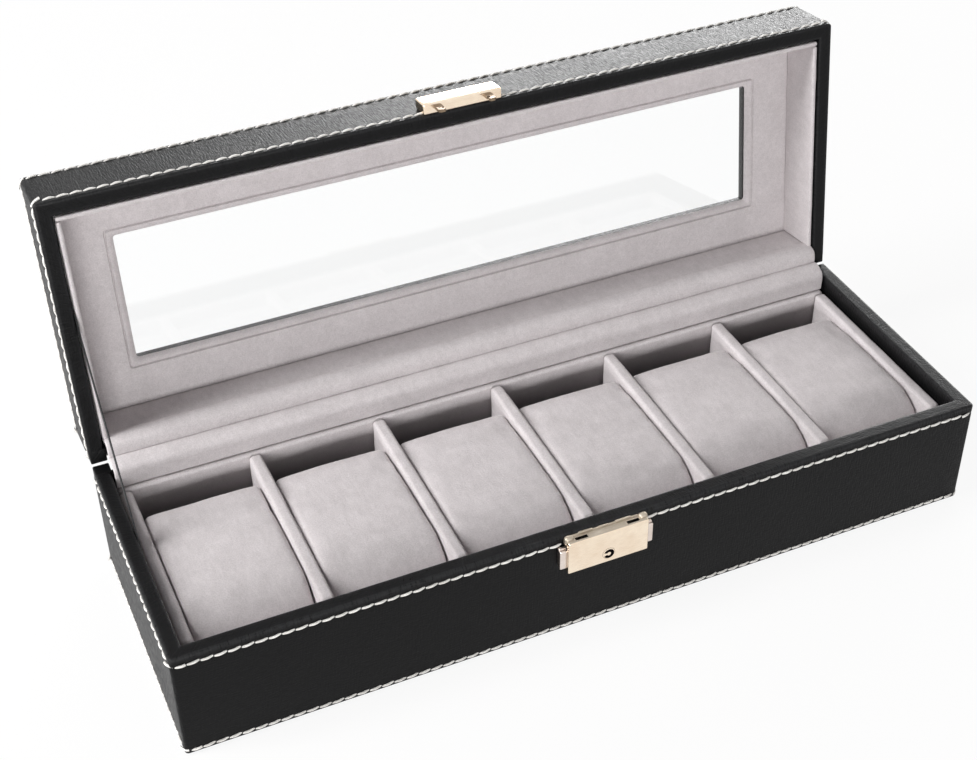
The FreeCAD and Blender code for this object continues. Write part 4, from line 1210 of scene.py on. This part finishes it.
@dataclass
class HingeLine:
    """What crosses the hinge, the velvet strip and the stay ribbon, and the leather in the notch's ends."""

    strip_half: float = 146.2
    strip_thickness: float = 1.25
    strip_edge: float = 0.6
    strip_line: tuple[Pair, ...] = (
        (-8.65, -5.8), (-8.7, -3.0), (-8.75, 0.2), (-8.2, 1.75), (-6.9, 2.5), (-5.0, 3.3), (-3.6, 3.3),
        (-2.75, 2.85), (-2.3, 2.35), (-2.05, 3.2), (-1.95, 5.0), (-1.6, 6.8), (-0.6, 8.0), (2.84, 8.74),
        (5.39, 8.15))
    strip_bend: tuple[Pair, Pair] = ((-8.7, 0.6), (-1.4, 7.2))
    ribbon_x: Pair = (-146.95, -146.45)
    ribbon_width: float = 3.0
    ribbon_base: Pair = (6.0, 39.5)
    ribbon_reach: float = 56.0
    ribbon_tuck: float = 4.0
    tuck_x: Pair = (146.3, 152.35)
    tuck_depth: Pair = (-5.6, -0.1)

    def strip_path(self) -> list[Vector]:
        """A smooth line through the strip's points, as Y and Z, in steps of about half a millimetre."""
        knots = [Vector((BOX.half_y + y, BOX.hinge_z + z)) for y, z in self.strip_line]
        knots = [2 * knots[0] - knots[1], *knots, 2 * knots[-1] - knots[-2]]
        line = []
        for a, b, c, d in zip(knots, knots[1:], knots[2:], knots[3:]):
            steps = max(2, round((c - b).length / 0.5))
            for step in range(steps):
                t = step / steps
                line.append(0.5 * (2 * b + (c - a) * t + (2 * a - 5 * b + 4 * c - d) * t * t
                                   + (3 * b - a - 3 * c + d) * t ** 3))
        return [*line, knots[-2]]

    def strip(self) -> None:
        """The strip: a thick velvet sheet with soft edges and slightly wavy rolls."""
        line = self.strip_path()
        length = sum((b - a).length for a, b in zip(line, line[1:]))
        count = len(line)
        places = soft_places(-self.strip_half, self.strip_half, self.strip_edge, 3, 2.5)
        form = Form()
        for x in places:
            end = min(1.0, (self.strip_half - abs(x)) / self.strip_edge)
            squeeze = math.sqrt(max(0.0, 1 - (1 - end) ** 2)) * 0.94 + 0.06
            skin: list[list[Vector]] = [[], []]
            for index, point in enumerate(line):
                before, after = line[max(index - 1, 0)], line[min(index + 1, count - 1)]
                way = (after - before).normalized()
                edge = min(1.0, index / 2 + 0.35, (count - 1 - index) / 9 + 0.1)
                half = self.strip_thickness / 2 * edge * squeeze
                ripple = 0.1 * noise.noise(Vector((x * 0.11, index * 0.2, 3.0)))
                for face, sign in enumerate((1, -1)):
                    out = Vector((-way.y, way.x)) * sign * (half + (ripple if sign > 0 else 0.0))
                    skin[face].append(Vector((x, point.x + out.x, point.y + out.y)))
            form.points += skin[0] + skin[1][::-1]
        loop = 2 * count
        form.faces = tube(len(places), loop)
        for start in (0, (len(places) - 1) * loop):
            for index in range(count - 1):
                mirror = loop - 1 - index
                form.faces.append((start + index, start + index + 1, start + mirror - 1, start + mirror))
        strip = new_object(form.mesh("hinge_strip_velvet"), VELVET, 60.0)
        start, end = ((0.0, (BOX.half_y + y) * MM, (BOX.hinge_z + z) * MM) for y, z in self.strip_bend)
        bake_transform(strip)
        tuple(start)
        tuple(end)
        declare(Slot.VELVET, ["hinge_cover_velvet"])
        LOG.info("%s bends between base and lid, %.1f mm wide", strip.name, length)

    def ribbon(self) -> None:
        """The stay ribbon, pulled nearly straight, with its ends tucked behind the linings."""
        low = Vector((0.0, *self.ribbon_base))
        high = BOX.opened(Vector((0.0, -self.ribbon_reach, 0.0)))
        way = (high - low).normalized()
        across = Vector((0.0, -way.z, way.y))
        start, stop = low - way * self.ribbon_tuck, high + way * self.ribbon_tuck
        length = (stop - start).length
        steps = 48
        form, path = Form(), []
        (left, right), wide, thin = self.ribbon_x, self.ribbon_width, 0.06
        for step in range(steps + 1):
            share = step / steps
            slack = 0.35 * math.sin(math.pi * share)
            middle = start.lerp(stop, share) - across * slack
            path.append((middle + Vector(((left + right) / 2, 0.0, 0.0))) * MM)
            for x, side in ((left, -1), (left + thin, 1), (right - thin, 1), (right, -1)):
                point = middle + across * side * wide / 2
                form.points.append(Vector((x, point.y, point.z)))
        form.faces = tube(steps + 1, 4) + caps(steps + 1, 4)
        for step in range(steps):
            for index in range(4):
                u, v, w = length * step / steps, length * (step + 1) / steps, wide * index
                form.cloth.append(((w, u), (w + wide, u), (w + wide, v), (w, v)))
        form.cloth += [((0.0, 0.0), (wide, 0.0), (wide, 0.5), (0.0, 0.5))] * 2
        ribbon = new_object(form.mesh("stay_ribbon"), RIBBON)
        ends = [tuple(point) for point in (path[2], path[-3])]
        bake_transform(ribbon)
        declare(Slot.RIBBON, ["lid_stay_ribbon"])
        tuple(path[0])
        [tuple(point) for point in path]
        LOG.info("%s bends between base and lid, %.1f mm long", ribbon.name, length)

    def tuck(self, sign: int) -> Form:
        """Leather folded into one end of the hinge notch, in the frame of the rim's back edge."""
        left, right = mirrored(sign, self.tuck_x)
        low, high = self.tuck_depth
        form = Block((left, low, low), (right, high, high), 0.6, 2.0, 3, 0.1).form()
        flat = [(point.x + point.y, point.z) for point in form.points]
        form.cloth = [tuple(flat[index] for index in face) for face in form.faces]
        return form

    def tucks(self) -> None:
        """The folded leather in both ends of the hinge notch, on the base and on the lid."""
        for sign, side in ((-1, "left"), (1, "right")):
            base = self.tuck(sign).moved(lambda point: point + Vector((0.0, BOX.half_y, BOX.hinge_z)))
            settle(new_object(base.mesh(f"base_{side}_tuck"), LEATHER), Body.BASE.value, Slot.LEATHER)
            lid = self.tuck(sign).moved(lambda point: BOX.opened(Vector((point.x, point.y, -point.z))))
            settle(new_object(lid.mesh(f"lid_{side}_tuck"), LEATHER), Body.LID.value, Slot.LEATHER)

    def build(self) -> None:
        """The strip, the ribbon and the tucks."""
        self.strip()
        self.ribbon()
        self.tucks()


def prism(outline: Sequence[Pair], ends: Pair) -> Form:
    """A flat outline in X and Z drawn out along Y between two ends."""
    form = Form(points=[Vector((x, y, z)) for y in ends for x, z in outline])
    form.faces = caps(2, len(outline)) + tube(2, len(outline))
    return form


@dataclass
class Lock:
    """The lock on the base's front: case, key plug, two release tabs and their springs."""

    half: float = 15.3
    face: float = -55.0
    wall: float = -51.0
    foot: float = 30.6
    top: float = 44.6
    plug_z: float = 34.65
    plug_radius: float = 2.3
    slot_x: Pair = (7.5, 12.1)
    slot_y: Pair = (-54.1, -52.75)
    tab_x: Pair = (12.2, 17.8)
    tab_y: Pair = (-52.6, -51.25)
    tab_z: Pair = (33.05, 41.15)
    thumb_y: Pair = (-53.7, -51.5)
    thumb_z: Pair = (32.4, 40.6)
    sheet: float = 0.7
    window_x: Pair = (11.9, 17.0)
    plug_back: float = -52.8
    cam: Pair = (0.9, 2.8)
    bar_x: Pair = (3.2, 12.4)
    bar_y: Pair = (-52.55, -51.3)
    bar_z: float = 41.4
    spring_x: Pair = (8.35, 12.05)
    spring_bend: Pair = (8.4, 11.9)
    spring_y: float = -51.925
    spring_z: float = 37.2
    spring_radius: float = 0.57
    spring_wire: float = 0.12
    sides: tuple[tuple[int, Body, str], ...] = ((-1, Body.TAB_LEFT, "left"), (1, Body.TAB_RIGHT, "right"))

    def case(self) -> None:
        """The pressed case with its hook slots, tab windows and plug bore."""
        low, high = (-self.half, self.face, self.foot), (self.half, self.wall - 0.02, self.top)
        body = new_object(Block(low, high, 0.55, 3.0, 3).form().mesh("lock_case_plating"), PLATING, 25.0)
        inside, past = self.half - self.sheet, self.wall + 1
        cavity = Block((-inside, self.face + 0.75, self.foot + self.sheet),
                       (inside, past, self.top - self.sheet), 0.3, 9.0, 2)
        rim = arc((0.0, self.plug_z), self.plug_radius + 0.08, 0, 360, 40)[:-1]
        cutters = [cavity.form().mesh("cavity"), prism(rim, (self.face - 1, self.face + 1.0)).mesh("bore")]
        for sign in (-1, 1):
            left, right = mirrored(sign, self.slot_x)
            slot = Block((left, self.slot_y[0], self.top - 2.6), (right, self.slot_y[1], self.top + 1.4),
                         0.25, 9.0, 2)
            cutters.append(slot.form().mesh("slot"))
            left, right = mirrored(sign, self.window_x)
            window = Block((left, self.thumb_y[0] - 0.15, self.thumb_z[0] - 0.15),
                           (right, past, self.tab_z[1] + 1.32), 0.05, 9.0, 1)
            cutters.append(window.form().mesh("window"))
        # The cut faces take the cutters' flat black: painted shade inside the cavity, slots, tab windows and
        # bore.
        carve(body, [new_object(mesh, BLACK_BOARD_AND_SHADE) for mesh in cutters])
        body.data.set_sharp_from_angle(angle=math.radians(25))
        body.data.materials.append(DARKER_PLATING.material())
        darker_index = len(body.data.materials) - 1
        # The case's upward faces at the top take the darker plating.
        for polygon in body.data.polygons:
            if polygon.normal.z > 0.8 and polygon.center.z / MM > self.top - 0.2:
                polygon.material_index = darker_index
        settle(body, Body.BASE.value, Slot.LOCK, ["lock_case"])
        plate = new_object(self.back_plate().mesh("lock_back_plate"), DARKER_PLATING, 25.0)
        settle(plate, Body.BASE.value, Slot.LOCK)

    def back_plate(self) -> Form:
        """The plate behind the case: its stepped upper edge and a rolled ear at each end."""
        back, top = self.wall - 0.04, self.top
        form = Block((-12.6, back - 0.75, top - 2.0), (12.6, back, top + 0.3), 0.2, 4.0, 2).form()
        for left, right, rise in ((-10.1, -4.7, 0.72), (3.9, 9.8, 0.72), (-2.6, 1.2, 0.5)):
            form.add(Block((left, back - 0.8, top - 1.0), (right, back, top + rise), 0.22, 2.0, 2).form())
        for sign in (-1, 1):
            left, right = mirrored(sign, (12.4, 15.75))
            form.add(Block((left, back - 2.5, top - 2.4), (right, back, top + 1.0), 1.1, 1.0, 4).form())
        return form

    def plug(self) -> None:
        """The key plug: a round face with a ring-shaped key slot round a centre pin."""
        form = Form()
        steps = 48
        radii = (0.01, 0.4, 0.68, 0.74, 0.8, 1.3, 1.94, 2.0, 2.12, self.plug_radius)
        face = self.face - 0.25

        def depth(radius: float, angle: float) -> float:
            """How far the face lies back at a place."""
            if radius > 2.2:
                return 0.2
            open_ring = 0.78 < radius < 1.96 and abs(abs(angle) - math.pi) > 0.5
            return 1.3 if open_ring else 0.0

        for radius in radii:
            for step in range(steps):
                angle = 2 * math.pi * step / steps - math.pi
                form.points.append(Vector((radius * math.cos(angle), face + depth(radius, angle),
                                           self.plug_z + radius * math.sin(angle))))
        for x, z in arc((0.0, self.plug_z), self.plug_radius, -180, 180, steps)[:-1]:
            form.points.append(Vector((x, self.plug_back, z)))
        rows = len(radii) + 1
        form.faces = tube(rows, steps) + caps(rows, steps)
        wide, long = self.cam
        cam = Block((-wide, self.plug_back, self.plug_z - long), (wide, self.bar_y[1], self.plug_z + long),
                    0.2, 2.0, 2)
        plug = new_object(form.add(cam.form()).mesh("lock_plug_plating"), PLATING, 25.0)
        # The key slot's inner faces take flat black: painted shade.
        plug.data.materials.append(BLACK_BOARD_AND_SHADE.material())
        for polygon in plug.data.polygons:
            reach = math.hypot(polygon.center.x, polygon.center.z - self.plug_z * MM) / MM
            if face + 0.3 < polygon.center.y / MM < face + 1.5 and reach < 2.02:
                polygon.material_index = 1
        settle(plug, Body.PLUG.value, Slot.LOCK, ["lock_plug"])

    def tabs(self) -> None:
        """The two release tabs with their thumb ends."""
        for sign, body, side in self.sides:
            form = Form()
            for y, z, radius in ((self.thumb_y, self.thumb_z, 0.5), (self.tab_y, self.tab_z, 0.4)):
                low, high = zip(mirrored(sign, self.tab_x), y, z)
                form.add(Block(low, high, radius, 1.2, 3).form())
            for z in (self.plug_z, self.bar_z):
                low, high = zip(mirrored(sign, self.bar_x), self.bar_y, (z - 0.9, z + 0.9))
                form.add(Block(low, high, 0.25, 3.0, 2).form())
            tab = new_object(form.mesh(f"release_tab_{side}_plating"), TAB_PLATING, 25.0)
            settle(tab, body.value, Slot.LOCK, [f"release_tab_{side}"])

    def coil(self, sign: int) -> Form:
        """One small coil spring along X, between the post in the case and the tab."""
        turns, steps, facets = 6, 12, 5
        count = turns * steps
        start, stop = self.spring_x
        form = Form()
        for step in range(count + 1):
            turn = 2 * math.pi * step / steps
            out = Vector((0.0, math.cos(turn), math.sin(turn)))
            x = start + (stop - start) * step / count
            middle = Vector((sign * x, self.spring_y, self.spring_z)) + out * self.spring_radius
            for across, along in arc((0.0, 0.0), self.spring_wire, 0, 360, facets)[:-1]:
                form.points.append(middle + out * across + Vector((along, 0.0, 0.0)))
        form.faces = tube(count + 1, facets) + caps(count + 1, facets)
        return form

    def springs(self) -> None:
        """The springs behind the tabs, fixed coils here, though a real one shortens when its tab is pressed.
        """
        for sign, body, side in self.sides:
            spring = new_object(self.coil(sign).mesh(f"tab_spring_{side}_coil"), STEEL, 60.0)
            start, end = ((sign * x * MM, self.spring_y * MM, self.spring_z * MM) for x in self.spring_bend)
            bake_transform(spring)
            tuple(start)
            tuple(end)
            declare(Slot.STEEL, [f"tab_spring_{side}"])

    def build(self) -> None:
        """Case, plug, tabs and springs."""
        self.case()
        self.plug()
        self.tabs()
        self.springs()


@dataclass
class Strike:
    """The strike on the lid's front wall, with its two hooks."""

    half: float = 15.0
    front: float = -106.0
    wall: float = -102.0
    foot: float = 0.3
    top: float = 8.3
    hook_x: Pair = (8.2, 11.0)
    hook_y: Pair = (-105.0, -103.9)
    hook_tip: float = -4.7
    notch: Pair = (-3.65, -2.25)

    def build(self) -> None:
        """The block, and both hooks as one piece."""
        low, high = (-self.half, self.front, self.foot), (self.half, self.wall - 0.02, self.top)
        form = Block(low, high, 0.6, 3.0, 3).form()
        strike = new_object(form.moved(BOX.opened).mesh("strike_plating"), PLATING, 25.0)
        settle(strike, Body.LID.value, Slot.LOCK, ["strike_plate"])
        form = self.hook(-1).add(self.hook(1))
        # The hooks take the darker plating: painted shade for their shadowed outlines.
        hooks = new_object(form.moved(BOX.opened).mesh("strike_hooks"), HOOK_PLATING_PAINTED_SHADE, 25.0)
        settle(hooks, Body.LID.value, Slot.LOCK)

    def hook(self, sign: int) -> Form:
        """One flat hook with a notch on its inner side."""
        inner, outer = self.hook_x
        outline = [(inner, 0.8), (outer, 0.8), (outer, self.hook_tip + 0.8), (outer - 0.8, self.hook_tip),
                   (inner + 0.5, self.hook_tip), (inner, self.hook_tip + 0.7), (inner, self.notch[0]),
                   (inner + 1.0, self.notch[0]), (inner + 1.0, self.notch[1]), (inner, self.notch[1])]
        return prism([(sign * x, z) for x, z in outline], self.hook_y)


NODE_FINISHES = (("floor_panel", BOARD), ("panel", BLACK_BOARD_AND_SHADE), ("underside", FELT), ("pane", PANE),
                 ("hinge", STEEL), ("rivet", STEEL))


def dress_nodes() -> None:
    """Gives every CAD node that still shows the finish of its kind."""
    for name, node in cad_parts.items():
        finish = next((finish for word, finish in NODE_FINISHES if word in name), None)
        if finish is None:
            continue
        material = finish.material()
        if not node.material_slots:
            node.data.materials.append(material)
        for slot in node.material_slots:
            slot.link = "OBJECT"
            slot.material = material
        LOG.info("%s is finished in %s", name, finish.name)


@dataclass
class Studio:
    """Camera, lamps, white surround and floor."""

    focal_px: float = 1707.48
    width_px: float = 977.0
    azimuth: float = -23.2623
    elevation: float = 38.3037
    roll: float = -0.8934
    position: tuple[float, float, float] = (-203.505, -426.5095, 444.0889)
    sensor: float = 36.0
    fill: float = 0.16
    floor_half: float = 4.0

    def camera(self) -> None:
        """The photograph's camera."""
        az, el, roll = (math.radians(value) for value in (self.azimuth, self.elevation, self.roll))
        back = Vector((math.sin(az) * math.cos(el), -math.cos(az) * math.cos(el), math.sin(el)))
        right = Vector((math.cos(az), math.sin(az), 0.0))
        up = back.cross(right)
        across = right * math.cos(roll) + up * math.sin(roll)
        above = up * math.cos(roll) - right * math.sin(roll)
        data = bpy.data.cameras.new("camera")
        data.sensor_width = self.sensor
        data.lens = self.focal_px / self.width_px * self.sensor
        data.clip_start = 0.01
        thing = bpy.data.objects.new("camera", data)
        turned = Matrix((across, above, back)).transposed().to_4x4()
        turned.translation = Vector(self.position) * MM
        thing.matrix_world = turned
        bpy.context.scene.collection.objects.link(thing)
        bpy.context.scene.camera = thing

    @staticmethod
    def seen_white(graph: Graph) -> Wire:
        """One on the rays that show the surround: from the camera, in gloss and through the pane."""
        rays = graph.node("ShaderNodeLightPath")
        return rays["Is Camera Ray"].larger(rays["Is Glossy Ray"]).larger(rays["Is Transmission Ray"])

    def world(self) -> None:
        """A white surround that lights the object more softly than it shows."""
        world = bpy.data.worlds.new("surround")
        world.use_nodes = True
        bpy.context.scene.world = world
        graph = Graph(world.node_tree)
        soft = graph.node("ShaderNodeBackground", {},
                          {"Color": (1.0, 0.995, 0.99, 1.0), "Strength": self.fill})
        white = graph.node("ShaderNodeBackground", {}, {"Color": (1.0, 1.0, 1.0, 1.0), "Strength": 1.0})
        mixed = graph.node("ShaderNodeMixShader", {},
                           {0: self.seen_white(graph), 1: soft["Background"], 2: white["Background"]})
        graph.node("ShaderNodeOutputWorld", {}, {"Surface": mixed["Shader"]})

    def floor(self) -> None:
        """A pale floor that shows white but keeps a soft shadow."""
        mesh = bpy.data.meshes.new("floor")
        half = self.floor_half
        corners = [(-half, -half, 0), (half, -half, 0), (half, half, 0), (-half, half, 0)]
        mesh.from_pydata(corners, [], [(0, 1, 2, 3)])
        material = bpy.data.materials.new("floor")
        material.use_nodes = True
        graph = Graph(material.node_tree)
        card = graph.node("ShaderNodeBsdfDiffuse", {}, {"Color": (0.88, 0.87, 0.87, 1.0)})
        glow = graph.node("ShaderNodeEmission", {}, {"Color": (1.0, 1.0, 1.0, 1.0), "Strength": 1.0})
        mixed = graph.node("ShaderNodeMixShader", {},
                           {0: self.seen_white(graph) * 0.9, 1: card["BSDF"], 2: glow["Emission"]})
        graph.node("ShaderNodeOutputMaterial", {}, {"Surface": mixed["Shader"]})
        mesh.materials.append(material)
        thing = bpy.data.objects.new("floor", mesh)
        bpy.context.scene.collection.objects.link(thing)

    @staticmethod
    def lamp(name: str, place: tuple[float, float, float], aim: tuple[float, float, float], size: Pair,
             power: float) -> None:
        """A soft rectangular lamp.

        Args:
            name: its name.
            place: where it hangs, in metres.
            aim: the point that it faces.
            size: its width and height in metres.
            power: watts.
        """
        data = bpy.data.lights.new(name, "AREA")
        data.shape, data.size, data.size_y, data.energy = "RECTANGLE", *size, power
        thing = bpy.data.objects.new(name, data)
        way = Vector(aim) - Vector(place)
        thing.matrix_world = Matrix.Translation(place) @ way.to_track_quat("-Z", "Y").to_matrix().to_4x4()
        bpy.context.scene.collection.objects.link(thing)

    def build(self) -> None:
        """Everything round the object."""
        scene = bpy.context.scene
        scene.view_settings.view_transform = "Standard"
        self.camera()
        self.world()
        self.floor()
        self.lamp("above", (-1.2, 0.12, 1.0), (0.0, 0.0, 0.05), (0.5, 1.1), 27.0)
        self.lamp("left", (-0.6, -1.7, 0.34), (0.0, 0.0, 0.1), (1.0, 0.3), 20.0)
        self.lamp("behind", (1.35, 1.6, 0.46), (0.05, 0.05, 0.15), (2.2, 0.36), 50.0)


def main() -> None:
    """Builds the pieces in order and gives the remaining CAD nodes their finishes."""
    logging.basicConfig(level=logging.INFO, format="%(name)s: %(message)s")
    for part in (Studio(), HingeLine(), BaseCase(), LidCase(), Tray(), Pillows(), Lock(), Strike()):
        part.build()
    dress_nodes()


if __name__ == "__main__":
    main()
